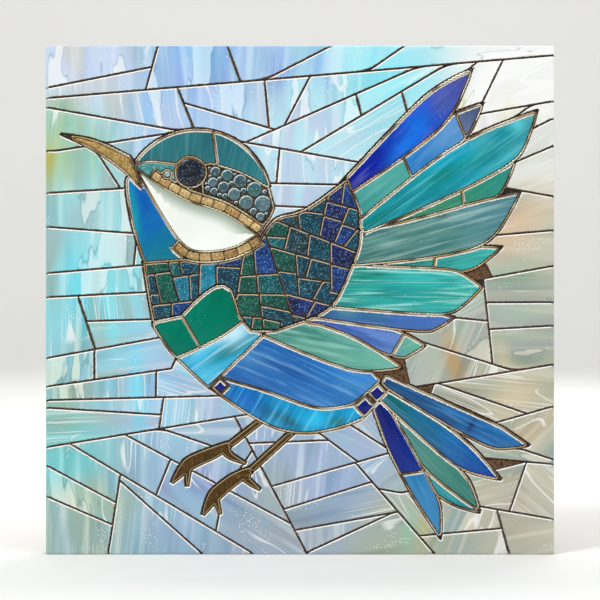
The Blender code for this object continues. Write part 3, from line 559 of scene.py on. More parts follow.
groundLook = {"front": 10.9 * mm, "back": 8.4 * mm, "round": 0.45 * mm, "wave": 0.07 * mm, "tilt": 0.006,
              "grow": 0.24 * mm, "ragged": 0.14 * mm, "seed": 4}
groundPlaces = {  # broad areas of the ground: place in millimetres, then main, second and band colours
    "cornerGrey": ((-132, 132), "dadcd9", "ccdcf6", "f8faf8"),
    "topSky": ((-62, 138), "96d2f5", "aebaf0", "d4f0ff"),
    "topCyan": ((42, 132), "94e6f7", "b8eef6", "e4fcff"),
    "cornerWhite": ((128, 118), "ffffff", "fcfdfb", "ffffff"),
    "leftSage": ((-138, 90), "a9cbb9", "8fd6c8", "c3cf9c"),
    "headLilac": ((-72, 98), "bfd3f7", "a9d7f7", "ecf4ff"),
    "wingLilac": ((0, 92), "cdd4f2", "b7ecf4", "f6faff"),
    "leftAqua": ((-128, 45), "b4d2d4", "9cdfe8", "e6f6f6"),
    "leftCyan": ((-125, 5), "abc6bc", "8adeea", "dcf8fa"),
    "leftLow": ((-122, -48), "adc5b4", "8fd3ec", "eef5dd"),
    "breastLilac": ((-88, -52), "b9c6ec", "a3d8f0", "e2ecfb"),
    "leftTurquoise": ((-140, -88), "6fd6dd", "86c5c2", "a6eef2"),
    "cornerMoss": ((-128, -128), "a3bfae", "8cbcd2", "eef2e2"),
    "footBlue": ((-72, -112), "9db4dc", "93bdd3", "d3e4f4"),
    "lowGrey": ((-20, -135), "88a6c2", "9fb2c6", "dce4ec"),
    "middlePale": ((12, -104), "9dc0d6", "a6b2dc", "e8f4f8"),
    "lowRight": ((62, -140), "9abac0", "adb396", "dedac0"),
    "rightStraw": ((128, -120), "a4b8b0", "c4bda9", "e4decb"),
    "rightSage": ((128, -60), "a0b8a9", "c4b698", "e6decb"),
    "rightPearl": ((118, -5), "b2b6b4", "abc2ae", "ded6c8"),
    "rightCream": ((138, 45), "c3cfbd", "d9cbb2", "f4f0e4"),
    "rightTop": ((138, 84), "ecefea", "dfe2d6", "ffffff"),
}


groundPools = (  # accents inside the broad areas
    ((-147, 84), 10, 16, 0, "c8c766"), ((-140, 108), 10, 12, 0, "9cc8a8"),
    ((-60, 145), 16, 8, 0, "7fd0f4"), ((-12, 138), 7, 14, 0, "7f9ce8"), ((14, 139), 9, 13, 0, "8fb2f0"),
    ((60, 94), 5, 16, -30, "bfe89a"), ((30, 66), 9, 26, -35, "8ce6f6"),
    ((52, 132), 24, 12, -20, "8df2ff"), ((96, 112), 6, 12, 10, "f2efae"),
    ((124, 104), 5, 14, 5, "efedb8"), ((-130, 2), 7, 28, 4, "55e4f4"), ((-112, -6), 4, 26, 6, "7cecf6"),
    ((-96, -52), 5, 26, 4, "62e6fa"), ((-140, -96), 14, 12, 0, "58d4dc"),
    ((-142, -60), 12, 20, 0, "9db28e"), ((-120, -118), 26, 10, -8, "a9c4a0"),
    ((-62, -70), 5, 18, 12, "a4ccd4"), ((-14, -112), 16, 14, 0, "a3b49c"),
    ((-52, -108), 24, 9, 0, "8a9cd8"), ((90, -34), 5, 17, 12, "d2a566"),
    ((120, -36), 6, 16, 20, "dfdab8"), ((126, -58), 18, 9, 30, "e0d0b0"),
    ((124, 42), 12, 22, -35, "dcb896"), ((74, -132), 4, 16, -8, "c2ba74"),
    ((64, -136), 4, 16, -8, "8fcdb0"), ((128, -124), 16, 20, 20, "bfb3a0"),
    ((104, -100), 14, 8, 10, "b4c8b4"), ((-4, -140), 30, 9, 0, "a4aeb4"),
    ((40, -100), 30, 12, 10, "9cbcd8"), ((128, 14), 16, 8, 0, "98b49c"),
)


def makeOpal():
    opal = Shader("opalGlass", Roughness=0.12, Coat_Weight=0.25, Coat_Roughness=0.04, IOR=1.5)
    grain, tone = opal.attributes("grain", "tone")
    main, second, streak = opal.attributes("body", "second", "streak")
    cloud = opal.noise(grain, (0.012, 0.055), 1.0, 0.4)
    base = opal.mix(opal.band(cloud, 0.38, 0.62), main, second)
    soft = opal.noise(grain, (0.010, 0.16, 1.3), 1.0, 0.2)
    base = opal.over(base, opal.band(soft, 0.50, 0.72, 0.45), streak)
    deep = opal.noise(grain, (0.014, 0.10, 2.2), 1.0, 0.3)
    base = opal.over(base, opal.band(deep, 0.52, 0.70, 0.35), opal.mix(1.0, base, second, "MULTIPLY"))
    where = opal.noise(grain, (0.02, 0.03, 1.7), 1.0)
    ragged = opal.noise(grain, (0.014, 0.060), 3.0, 0.15)
    torn = opal.times(opal.band(ragged, 0.560, 0.590), opal.band(tone, 0.62, 0.66))
    base = opal.over(base, torn, streak, 0.65)
    brink = opal.math("ABSOLUTE", opal.math("SUBTRACT", ragged, 0.560))
    brink = opal.times(opal.under(brink, 0.002, 0.009), opal.band(tone, 0.62, 0.66))
    shadow = opal.mix(1.0, second, colour("8fa8a8"), "MULTIPLY")
    base = opal.over(base, brink, shadow, 0.40)
    lines = opal.noise(grain, (0.010, 0.9), 2.0)
    ruled = opal.times(opal.band(where, 0.47, 0.60), opal.under(tone, 0.45, 0.5))
    hair = opal.times(opal.band(lines, 0.53, 0.68), ruled)
    base = opal.over(base, hair, "ffffff", 0.6)
    shade = opal.times(opal.band(lines, 0.34, 0.48, -1.0), ruled)
    base = opal.over(base, opal.math("ADD", shade, ruled), second, 0.25)
    vein = opal.noise(grain, (0.010, 0.045, 0.6), 2.0, 0.15)
    thin = opal.math("ABSOLUTE", opal.math("SUBTRACT", vein, 0.5))
    veins = opal.times(opal.under(thin, 0.003, 0.012), opal.band(where, 0.53, 0.58))
    base = opal.over(base, veins, "ffffff", 0.6)
    dots = opal.cells(grain, 0.75)
    some = opal.band(opal.noise(grain, (0.045, 0.09, 2.3), 2.0), 0.57, 0.66)
    small = opal.under(dots["Distance"], 0.16, 0.28)
    bubbles = opal.times(small, some)
    base = opal.over(base, bubbles, "ffffff", 0.9)
    # painted highlight on the shard edges that face the light, painted shade on the others
    base = opal.edge(base, 0.85, "fffdf6", "4a3020")
    height = opal.math("ADD", opal.times(bubbles, 0.6), opal.times(veins, 0.5))
    height = opal.math("ADD", height, opal.times(lines, 0.25))
    return opal.finish(base, normal=opal.bump(height, 0.35, 0.0004),
                       roughness=opal.math("ADD", 0.08, opal.times(cloud, 0.10)))


def groundPaint(seed, angle):
    rng = random.Random(seed)
    spots = list(groundPlaces.values())
    centres = np.array([spot[0] for spot in spots]) * mm
    palette = np.array([[colour(code) for code in spot[1:]] for spot in spots])
    lift = rng.uniform(0.80, 1.00)
    swap = rng.random() * 0.8

    def paint(rim, places):
        gap = ((places[:, None, :] - centres) ** 2).sum(2)
        weight = 1 / (gap + (14 * mm) ** 2) ** 2
        weight = weight / weight.sum(1)[:, None]
        main, second, streak = [(weight @ palette[:, i]) for i in range(3)]
        main = poured(main, places, groundPools)
        second = second * 0.5 + poured(second, places, groundPools) * 0.5
        main, second = main + (second - main) * swap * 0.6, second + (main - second) * swap * 0.4
        main = (main * lift).clip(0, 1)
        main[:, 3] = 1
        return {"tone": [rng.random()] * len(places), "grain": turned(places, angle, seed % 97),
                "body": main, "second": second, "streak": streak}

    return paint


def groundDepth(seed):
    turn = seed * 1.7

    def depth(rim, places):
        face = groundLook["front"] + rounded(rim, groundLook["round"])
        wave = rippled(places, 90, turn) * groundLook["wave"]
        slope = (places - places.mean(0)) @ np.array([math.cos(turn), math.sin(turn)]) * groundLook["tilt"]
        return face + (wave + slope) * (rim / (2 * mm)).clip(0, 1)

    return depth


gussetLook = {"largest": 65 * mm * mm, "from": 50 * mm, "grow": 0.5 * mm,
              "colours": ("6b4a2c", "3a2414", "c49a6a")}


def plainPaint(main="808080", second="808080", streak="808080", angle=0, amount=0.5, seed=1):
    def paint(rim, places):
        values = {"tone": amount, "body": colour(main), "second": colour(second), "streak": colour(streak)}
        fields = {key: [value] * len(places) for key, value in values.items()}
        return fields | {"grain": turned(places, angle, seed)}

    return paint


def makeGusset():  # the small fills between the feather tips
    fill = Shader("gussetBronze", Roughness=0.5, Metallic=0.3)
    grain, body, second, streak = fill.attributes("grain", "body", "second", "streak")
    cloud = fill.noise(grain, 0.5, 4.0)
    base = fill.mix(fill.band(cloud, 0.38, 0.62), body, second)
    glint = fill.noise(grain, 2.2, 3.0)
    base = fill.over(base, fill.band(glint, 0.58, 0.7), streak)
    return fill.finish(base, normal=fill.bump(cloud, 0.6, 0.0006))


def buildGround():
    opal = makeOpal()
    rng = random.Random(groundLook["seed"])
    number = 0
    sources = [name for name in sorted(nodes) if name.startswith("ground_")]
    small = newHeap()
    for node in sources:
        heap = newHeap()
        for ring in ringsOf(node):
            number += 1
            seed = number * 13 + 5
            if ringArea(ring) < gussetLook["largest"] and ring.mean(0)[0] > gussetLook["from"]:
                fine = grown(softRing(ring), gussetLook["grow"])
                addSlab(small, fine, groundDepth(seed), (0.2, 0.5, 1), 1.5 * mm,
                        plainPaint(*gussetLook["colours"], seed=number), groundLook["back"])
                continue
            fine = grown(softRing(ring), groundLook["grow"], groundLook["ragged"], number)
            # the grain stands upright at the left, and follows the shard at the right
            if ring.mean(0)[0] / mm < 20:
                angle = rng.choice((90, 90, 84, 97, longAxis(ring)))
            else:
                angle = longAxis(ring) + rng.choice((0, 0, 70))
            addSlab(heap, fine, groundDepth(seed), (0.12, 0.30, 0.55, 1.1, 2), 3.2 * mm,
                    groundPaint(seed, angle), groundLook["back"])
        name = "opalShards" if node == "ground_mosaic" else "opalShard" + node[-2:]
        addMesh(name, heap, opal, node)
    addMesh("bronzeGussets", small, makeGusset(), "ground_mosaic")
    return number


shardCount = buildGround()
print("ground ready:", shardCount, "shards")


# feathers and body glass

# root, middle and tip colours, streak colour and strength, grain angle from the piece's length
glassLooks = {
    "crown_front": ("2b6f78", "2d767e", "2a6c76", "74b4b4", 0.30, 62),
    "crown_back": ("2f7f88", "2b747e", "286a74", "74b4b4", 0.22, 100),
    "throat": ("0a7c94", "0a66b4", "0a94c8", "2098c4", 0.12, 10),
    "breast_front": ("007460", "00785e", "027c66", "148c70", 0.06, 30),
    "breast_back": ("007058", "007a62", "027c66", "148c70", 0.06, 10),
    "aqua_band": ("0a9cc8", "38bce8", "6ad0f0", "c8f0fc", 0.45, 0),
    "flank": ("1f66b0", "2a78c4", "3a8cd0", "86b8e4", 0.48, -14),
    "belly": ("1478bc", "10a0d4", "0a86c0", "6cd8f4", 0.50, 70),
    "cobalt_square_front": ("061878", "082088", "061878", "2040a8", 0.2, 0),
    "cobalt_square_middle": ("061070", "07187c", "061070", "2040a8", 0.2, 0),
    "cobalt_square_back": ("061070", "07187c", "061070", "2040a8", 0.2, 0),
    "wing_feather_01": ("04048c", "0854d4", "4a54a8", "7684cc", 0.30, 0),
    "wing_feather_02_root": ("3f9f98", "55ada4", "4aa8a0", "8ccac2", 0.25, 0),
    "wing_feather_02_middle": ("1f7fcc", "4f94d0", "6a9cd4", "9cc0e4", 0.20, 0),
    "wing_feather_02_tip": ("6678a0", "56688f", "44547c", "8494b0", 0.20, 20),
    "wing_feather_03": ("0a8a88", "12a2b8", "54a8a8", "62d2e6", 0.45, 4),
    "wing_feather_04_root": ("2c7c5c", "2f8664", "338a6c", "7cc4ae", 0.25, 0),
    "wing_feather_04_tip": ("2f8a72", "2f9484", "3a9c8c", "7cc4ae", 0.25, 0),
    "wing_feather_05": ("447a76", "548c86", "5f92a6", "a8c8c0", 0.55, 0),
    "wing_feather_06_root": ("1a8078", "21897f", "2c968c", "6cc8bc", 0.3, 0),
    "wing_feather_06_tip": ("2a9f98", "38b0a8", "3fb4ae", "8ee0d6", 0.3, 0),
    "wing_feather_07": ("1e948c", "32b4ae", "34b6b0", "b0f2ec", 0.66, 0),
    "wing_feather_08": ("2a5c94", "4a74bc", "4f74c4", "7c98d8", 0.30, 0),
    "wing_feather_09_root": ("3c5cb0", "5478c4", "6a8ed0", "98b0e4", 0.35, 0),
    "wing_feather_09_tip": ("5f9fae", "5fae98", "66b59c", "a8dcc8", 0.3, 0),
    "wing_feather_10": ("4a8c80", "62aa9a", "70b8a6", "a4dccc", 0.45, 6),
    "tail_feather_1": ("104878", "1a62a2", "2a78ba", "5a9ccc", 0.45, 0),
    "tail_feather_2": ("046c64", "1f70b0", "0440a0", "5a98cc", 0.45, 0),
    "tail_feather_3": ("5a9490", "4a8c80", "3a8474", "80b4a4", 0.30, 0),
    "tail_feather_4": ("2a8f98", "2a9ca4", "2fa4b0", "7cd0d4", 0.35, 0),
    "tail_feather_5_root": ("051068", "071c80", "073090", "2450a8", 0.15, 0),
    "tail_feather_5_tip": ("2f84bc", "3a88c0", "4490c4", "7cb8dc", 0.25, 0),
}
glassPools = {
    "belly": (((-22, -64), 9, 3.5, -38, "0c6480"), ((-7, -71), 9, 3, -30, "0b4a54"),
        ((8, -70), 10, 6, 0, "2cc4f4"), ((22, -72), 5, 4, 20, "0c6c74"), ((31, -66), 5, 5, 0, "18a8dc"),
        ((-30, -60), 10, 7, -30, "1f74cc")),
    "aqua_band": (((-42, -30), 15, 4, 30, "067f88"), ((-66, -42), 7, 6, 40, "1aaee0"),
        ((-38, -20), 9, 5, 30, "c0ecfa")),
    "wing_feather_01": (((50, 84), 16, 5, 45, "0606a0"), ((62, 91), 14, 5, 45, "1078ec"),
        ((70, 103), 9, 6, 45, "0a74ea"), ((84, 118), 9, 7, 60, "5260b0"),
        ((96, 128), 8, 6, 60, "4a4f9c")),
    "wing_feather_03": (((56, 62), 12, 4, 30, "0a8a98"), ((84, 74), 12, 5, 30, "087c70"),
        ((84, 86), 16, 6, 30, "0cb0d4"), ((118, 98), 9, 5, 20, "0a8c9c"),
        ((128, 104), 5, 4, -40, "58c8d4"), ((108, 84), 16, 4, 25, "1a9494")),
    "wing_feather_05": (((84, 50), 4, 3, 10, "305c5c"), ((100, 52), 12, 4, 15, "6496a4"),
        ((50, 34), 10, 4, 0, "7aa8a0")),
    "wing_feather_07": (((36, 14), 12, 5, 0, "1a8c7c"), ((90, 2), 16, 6, 0, "2aa89a")),
    "wing_feather_08": (((46, -8), 6, 5, 0, "3f7a9c"), ((28, -6), 8, 4, 0, "5f9cb0")),
    "tail_feather_1": (((101, -74), 4.2, 2.0, 60, "0a1258"), ((70, -58), 14, 5, -30, "174a80")),
    "flank": (((-4, -42), 18, 4, -28, "1658a4"), ((-30, -34), 10, 6, -20, "5290cc"),
        ((30, -52), 10, 6, -30, "3a88cc")),
    "throat": (((-94, 62), 5, 12, 20, "0a58b4"), ((-98, 50), 3, 16, 8, "149cac")),
}
fixedGrain = {  # degrees
    "crown_front": 84, "crown_back": 76, "throat": 62, "breast_front": 50, "breast_back": 60,
}
birdLook = {"front": 11.1 * mm, "round": 0.6 * mm, "crown": 0.60 * mm, "swell": 2.5 * mm,
            "wave": 0.08 * mm, "grow": 0.60 * mm}


def makeArtGlass(name, lines=0.5, bubbles=0.4, swirl=0.6, shine=0.20):
    glass = Shader(name, Roughness=0.09, Coat_Weight=shine * 0.35, Coat_Roughness=0.03, IOR=1.5,
                   Specular_IOR_Level=shine)
    grain, amount = glass.attributes("grain", "tone")
    body, second, streak = glass.attributes("body", "second", "streak")
    flow = glass.noise(grain, (0.030, 0.13), 3.0, swirl)
    base = glass.mix(glass.band(flow, 0.36, 0.60), second, body)
    pull = glass.noise(grain, (0.025, 0.35, 1.4), 3.0, swirl * 0.5)
    base = glass.over(base, glass.band(pull, 0.50, 0.72), streak, amount)
    fine = glass.noise(grain, (0.014, 1.3, 2.1), 2.0)
    hair = glass.times(glass.band(fine, 0.55, 0.75), amount)
    base = glass.over(base, hair, streak, lines)
    dots = glass.cells(grain, 0.5)
    some = glass.band(glass.noise(grain, (0.06, 0.1, 2.9), 2.0), 0.60, 0.68)
    seeds = glass.times(glass.under(dots["Distance"], 0.10, 0.22), some)
    base = glass.over(base, seeds, "e8fbff", bubbles)
    # painted highlight on the piece's edges that face the light, painted shade on the others
    base = glass.edge(base, 1.15, "fffaee", "4a3426", 2.2)
    height = glass.math("ADD", glass.times(seeds, 0.5), glass.times(fine, 0.2))
    return glass.finish(base, normal=glass.bump(height, 0.3, 0.0003))


glassKinds = {  # hairlines, seeds, swirl and shine of each sheet of glass
    "dark_teal_glass": (0.9, 0.2, 0.1),
    "cerulean_glass": (0.3, 0.3, 1.4),
    "cobalt_glass": (0.2, 0.2, 1.8),
    "emerald_glass": (0.1, 0.1, 0.3, 0.09),
    "aqua_glass": (0.4, 0.2, 1.0),
    "blue_glass": (0.6, 0.2, 0.4),
    "periwinkle_glass": (0.3, 0.2, 0.3),
    "sea_green_glass": (0.7, 0.5, 0.6),
    "grey_teal_glass": (0.9, 0.3, 0.4),
}


def camel(name):
    first, *others = name.split("_")
    return first + "".join(word.capitalize() for word in others)


def birdPaint(node, look, ring, seed):
    root, middle, tip, streak, amount, lean = look
    angle = longAxis(ring)
    pools = glassPools.get(node, ())
    home = np.array([5, 5]) * mm  # feathers grow outwards from the middle of the back
    axis = np.array([math.cos(math.radians(angle)), math.sin(math.radians(angle))])
    if (ring.mean(0) - home) @ axis < 0:
        axis, angle = -axis, angle + 180
    along = ring @ axis
    low, high = along.min(), along.max()
    stops = np.array([colour(code) for code in (root, middle, tip)])
    darker = 1 - np.array([0.38, 0.20, 0.16, 0]) * min(1, 3 * amount)

    def blend(share):
        share = share.clip(0, 1)[:, None]
        return np.where(share < 0.5, stops[0] + (stops[1] - stops[0]) * share * 2,
                        stops[1] + (stops[2] - stops[1]) * (share * 2 - 1))

    def paint(rim, places):
        share = (places @ axis - low) / (high - low)
        sway = rippled(places, 60, seed * 3.1)
        body = poured(blend(share + sway * 0.25), places, pools)
        second = poured(blend(share - 0.15 - sway * 0.2), places, pools) * darker
        count = len(places)
        return {"tone": [amount] * count, "grain": turned(places, fixedGrain.get(node, angle + lean), seed),
                "body": body, "second": second, "streak": [colour(streak)] * count}

    return paint


def birdDepth(seed):
    def depth(rim, places):
        face = birdLook["front"] + rounded(rim, birdLook["round"])
        swell = birdLook["crown"] * rising(rim, birdLook["round"], birdLook["swell"])
        wave = rippled(places, 110, seed) * birdLook["wave"]
        return face + swell + wave * (rim / (2 * mm)).clip(0, 1)

    return depth


birdRings = {}  # the outlines that the gilt rope follows


def pieceRing(node):
    birdRings[node] = softRing(largestRing(node))
    return birdRings[node]


def addPiece(name, node, ring, depth, offsets, pitch, paint, material):
    heap = newHeap()
    addSlab(heap, ring, depth, offsets, pitch, paint)
    addMesh(name, heap, material, node)


def addGlass(name, node, *others):
    addPiece(name, node, grown(pieceRing(node), birdLook["grow"]), *others)


def buildBird():
    sheets = {slot: makeArtGlass(camel(slot), *kind) for slot, kind in glassKinds.items()}
    for seed, (node, look) in enumerate(glassLooks.items()):
        paint = birdPaint(node, look, softRing(largestRing(node)), seed)
        addGlass(camel(node) + "Glass", node, birdDepth(seed), (0.15, 0.36, 0.7, 1.3, 2.2), 2.1 * mm, paint,
                 sheets[slots[node]])


buildBird()
print("bird glass ready")


# cheek, eye, pearl and beak

# the shade colour 94a894 is painted shade inside the dish, along its edges that face the light
cheekLook = {"glaze": "fbfff9", "shade": "94a894", "front": 11.4 * mm, "dish": 1.5 * mm, "round": 0.6 * mm,
             "spread": 6 * mm}
eyeLook = {"colours": ("020714", "0c1a36", "cfe4f4"), "foot": 10.6 * mm, "top": 12.6 * mm}
loreLook = ("2f8488", "5cb0aa", "c8f2ea")
pearlLook = {"colours": ("7fa3b4", "dcecf2", "cfe4f4"), "foot": 10.6 * mm, "top": 12.0 * mm}
beakLook = {"colours": ("d6b46c", "907038", "f6e4b0"), "front": 11.1 * mm, "ridge": 0.8 * mm,
            "reach": 1.6 * mm, "bevel": 0.5 * mm}


def makeCheekGlaze():
    glaze = Shader("whiteGlaze", Roughness=0.08, Coat_Weight=0.6, Coat_Roughness=0.03)
    rim, lit, grain, body = glaze.attributes("rim", "lit", "grain", "body")
    cloud = glaze.noise(grain, (0.05, 0.05), 3.0)
    base = glaze.mix(glaze.band(cloud, 0.3, 0.75), body, colour("f3f9f0"))
    pits = glaze.cells(grain, 0.4)["Distance"]
    pit = glaze.times(glaze.under(pits, 0.05, 0.10), glaze.band(cloud, 0.55, 0.6))
    base = glaze.over(base, pit, "a9a69a", 0.5)
    # painted shade inside the dish, along its edges that face the light
    shade = glaze.times(glaze.under(rim, 0.3, 9.0), glaze.band(lit, 0.45, 0.8))
    base = glaze.over(base, shade, cheekLook["shade"], 0.9)
    base = glaze.over(base, glaze.under(rim, 0.0, 0.5), "d8c8a0")
    return glaze.finish(base, normal=glaze.bump(cloud, 0.1, 0.0004))


def makeGlitter(name, spread=2.4, sparkle=0.55, edge=("d8bc84", "3a2818"), gloss=0.15):
    glitter = Shader(name, Roughness=0.28, Coat_Weight=gloss, Coat_Roughness=0.05, Specular_IOR_Level=0.3)
    grain, body, second, streak = glitter.attributes("grain", "body", "second", "streak")
    flakes = glitter.cells(grain, spread)
    pick = glitter.add("SeparateColor", {0: flakes["Color"]})
    cloud = glitter.noise(grain, (0.12, 0.12), 3.0)
    base = glitter.mix(glitter.band(cloud, 0.35, 0.7, 0.8), body, second)
    base = glitter.over(base, glitter.band(pick[1], 0.5, 0.9, 0.5), second)
    core = glitter.under(flakes["Distance"], 0.18, 0.42)
    shine = glitter.times(glitter.band(pick[0], 0.35, 0.8), core)
    base = glitter.over(base, shine, streak, sparkle)
    # the two edge colours: a painted highlight on edges that face the light and painted shade on the others
    base = glitter.edge(base, 0.7, *edge, 1.2)
    height = glitter.math("SUBTRACT", 1.0, flakes["Distance"])
    return glitter.finish(base, normal=glitter.bump(height, 0.35, 0.0004))


def makeGoldLeaf():
    gold = Shader("goldLeaf", Metallic=0.75, Roughness=0.34)
    grain, rim = gold.attributes("grain", "rim")
    body, second, streak = gold.attributes("body", "second", "streak")
    hammer = gold.noise(grain, (0.5, 1.5), 4.0, 1.2)
    fine = gold.noise(grain, (1.4, 3.4), 3.0)
    base = gold.mix(gold.band(hammer, 0.40, 0.62), second, body)
    base = gold.over(base, gold.band(fine, 0.55, 0.75, 0.8), streak)
    base = gold.over(base, gold.under(rim, 0.0, 0.35), "f2dfae")
    height = gold.math("ADD", hammer, gold.times(fine, 0.6))
    return gold.finish(base, normal=gold.bump(height, 0.7, 0.0006))


def buildHead():
    def dish(rim, places):
        lip = cheekLook["front"] + rounded(rim, cheekLook["round"])
        return lip - cheekLook["dish"] * rising(rim, cheekLook["round"], cheekLook["spread"])

    addGlass("cheekGlaze", "cheek", dish, (0.15, 0.35, 0.6, 1.2, 2.2), 2 * mm,
             plainPaint(cheekLook["glaze"]), makeCheekGlaze())

    # painted highlight on the lore's edges that face the light, painted shade on the others
    turquoise = makeGlitter("turquoiseGlitter", 1.3, 0.6, ("e8dcc0", "4a3a28"))
    addGlass("loreGlaze", "lore", birdDepth(50), (0.15, 0.36, 0.7, 1.3), 1.8 * mm,
             plainPaint(*loreLook, seed=8), turquoise)

    # a gold-brown ring round eye and pearl, painted lighter as highlight where the edge faces the light and
    # painted dark as shade on the others
    glitter = makeGlitter("nightGlitter", 1.1, 0.36, ("a88450", "2c1c0e"), 0.3)
    for node, look in (("eye", eyeLook), ("lore_pearl", pearlLook)):
        centre, radius = roundPiece(largestRing(node))
        birdRings[node] = circle(centre, radius, 48)
        radius += birdLook["grow"]
        dome = domed(radius, look["foot"], look["top"], 2.6)
        addPiece(camel(node) + "Dome", node, circle(centre, radius, 48), dome, (0.1, 0.3, 0.6, 1.1, 1.9),
                 1.6 * mm, plainPaint(*look["colours"], seed=9), glitter)

    gold = makeGoldLeaf()

    def ridge(rim, places):
        rise = beakLook["ridge"] * rising(rim, 0, beakLook["reach"])
        return beakLook["front"] + rise - beakLook["bevel"] * np.exp(-rim / (0.2 * mm))

    addGlass("beakGold", "beak", ridge, (0.2, 0.45, 0.8, 1.4, 2.2), 1.3 * mm,
             plainPaint(*beakLook["colours"], angle=-35, seed=3), gold)
    return gold


goldLeaf = buildHead()
print("head ready")


# tesserae, beads and gold rows

tesseraLook = {
    "front": 11.2 * mm, "round": 0.5 * mm, "crown": 0.35 * mm, "swell": 1.4 * mm, "uneven": 0.2 * mm,
    # rim: painted highlight on tessera edges that face the light, painted shade on the others
    "grow": 0.30 * mm, "bed": 10.2 * mm, "rough": 0.15 * mm, "seed": 21, "rim": ("ccb496", "161008"),
    "navy": ("050f38", "0f2870", "8fb4f0"),
    "cobalt": ("042458", "0a4494", "8cc8f8"),
    "petrol": ("032a3a", "064a60", "7fd0e0"),
    "teal": ("04424c", "0a686c", "94e8e4"),
    "slate": ("0e2a32", "1c4650", "a4d0dc"),
    "green": ("033a32", "06584a", "74d0b8"),
    "glass": ("06607a", "1090b0", "9ce8f4"),
    "bead": ("24424a", "3a5c64", "b4d4d8"),
    "paleBead": ("3c5c64", "5a7c84", "cfe6e8"),
    "tealBead": ("1c4c50", "2f6c6c", "a8dcd8"),
}
beadLook = {"bed": 10.3 * mm, "foot": 10.7 * mm, "height": 1.3 * mm, "spread": 0.5 * mm, "apart": 0.08 * mm,
            # rim: painted highlight on bead edges that face the light, painted shade on the others
            "least": 0.9 * mm, "largest": 2.6 * mm, "rim": ("d4e6e6", "10242a")}
groutLook = ("15110f", "3a2a1c", "b9955c")
goldTints = (("e4ca92", "b8965e", "fcf0d0"), ("d8ba80", "a6824c", "f6e6bc"), ("c8a26a", "8e6a3c", "ecd4a0"))


def tesseraDepth(seed):
    def depth(rim, places):
        face = tesseraLook["front"] + rounded(rim, tesseraLook["round"])
        swell = tesseraLook["crown"] * rising(rim, tesseraLook["round"], tesseraLook["swell"])
        return face + swell + math.sin(seed * 2.3) * tesseraLook["uneven"]

    return depth


def addBed(name, node, material, top):
    def uneven(rim, places):
        return top + rippled(places, 700, 0) * tesseraLook["rough"]

    addPiece(name, node, pieceRing(node), uneven, (0.6,), 1.6 * mm, plainPaint(), material)


def makeTesseraGrout():
    grout = Shader("tesseraGrout", Roughness=0.7)
    grain = grout.attribute("grain")
    cloud = grout.noise(grain, 0.5, 3.0)
    gilt = grout.noise(grain, 1.6, 3.0)
    dark, brown, gold = [colour(code) for code in groutLook]
    base = grout.mix(grout.band(cloud, 0.4, 0.7), dark, brown)
    shine = grout.band(gilt, 0.51, 0.64)
    base = grout.over(base, shine, gold)
    normal = grout.bump(gilt, 0.5, 0.0003)
    return grout.finish(base, metallic=grout.times(shine, 0.7), normal=normal)


def packedBeads():  # the frame's beads grown till they almost touch, small ones in the gaps between
    bed = largestRing("ear_beads")
    beads = []
    for ring in ringsOf("ear_beads"):
        centre, radius = roundPiece(ring)
        beads.append((centre, radius + beadLook["spread"]))
    places = hexGrid(bed, 0.4 * mm)
    places = places[isInside(bed, places)]
    room = distanceTo(bed, places)
    while True:
        for centre, radius in beads:
            room = np.minimum(room, np.hypot(*(places - centre).T) - radius)
        best = int(room.argmax())
        if room[best] < beadLook["least"]:
            return beads
        beads.append((places[best], min(room[best] - beadLook["apart"], beadLook["largest"])))


def buildTesserae():
    grout = makeTesseraGrout()
    glitter = makeGlitter("tesseraGlitter", 1.25, 0.85, tesseraLook["rim"])
    rng = random.Random(tesseraLook["seed"])
    addBed("mantleGrout", "mantle_tesserae", grout, tesseraLook["bed"])
    heap = newHeap()
    for number, ring in enumerate(ringsOf("mantle_tesserae")):
        x = ring.mean(0)[0] / mm
        if x < -42:
            kinds = ("petrol", "teal", "cobalt", "glass", "green", "petrol", "navy")
        elif x < -8:
            kinds = ("petrol", "green", "navy", "cobalt", "teal", "green")
        else:
            kinds = ("navy", "cobalt", "navy", "petrol", "slate", "cobalt", "petrol")
        kind = tesseraLook[rng.choice(kinds)]
        fine = grown(softRing(ring, 1.0 * mm, 0.9 * mm), tesseraLook["grow"])
        addSlab(heap, fine, tesseraDepth(number), (0.15, 0.35, 0.6, 1.2), 1.8 * mm,
                plainPaint(*kind, angle=rng.uniform(0, 180), seed=number))
    addMesh("mantleTesserae", heap, glitter, "mantle_tesserae")

    addBed("earGrout", "ear_beads", grout, beadLook["bed"])
    heap = newHeap()
    for number, (centre, radius) in enumerate(packedBeads()):
        top = beadLook["foot"] + min(beadLook["height"], radius * 0.5)
        kind = tesseraLook[rng.choice(("bead", "paleBead", "bead", "tealBead"))]
        dome = domed(radius, beadLook["foot"], top, 2.4)
        addSlab(heap, circle(centre, radius, 28), dome, (0.1, 0.3, 0.7, 1.2), 1.3 * mm,
                plainPaint(*kind, seed=40 + number))
    addMesh("earBeads", heap, makeGlitter("beadGlaze", 0.9, 0.5, beadLook["rim"], 0.9), "ear_beads")

    for node, name in (("brow_tesserae", "brow"), ("collar_tesserae", "collar")):
        addBed(name + "Grout", node, grout, tesseraLook["bed"])
        heap = newHeap()
        for number, ring in enumerate(ringsOf(node)):
            tint = rng.choice(goldTints)
            fine = grown(softRing(ring, 0.5 * mm, 0.9 * mm), tesseraLook["grow"])
            addSlab(heap, fine, tesseraDepth(number), (0.15, 0.35, 0.6, 1.1), 1.6 * mm,
                    plainPaint(*tint, angle=longAxis(ring) + 90, seed=60 + number))
        addMesh(name + "Gold", heap, goldLeaf, node)


buildTesserae()
print("tesserae ready")


# legs

legLook = {"bronze": "46300e", "light": "573c14", "speck": "c09450", "edge": "e2cb98", "front": 11.0 * mm,
           "round": 0.45 * mm, "crown": 0.5 * mm, "swell": 1.2 * mm}


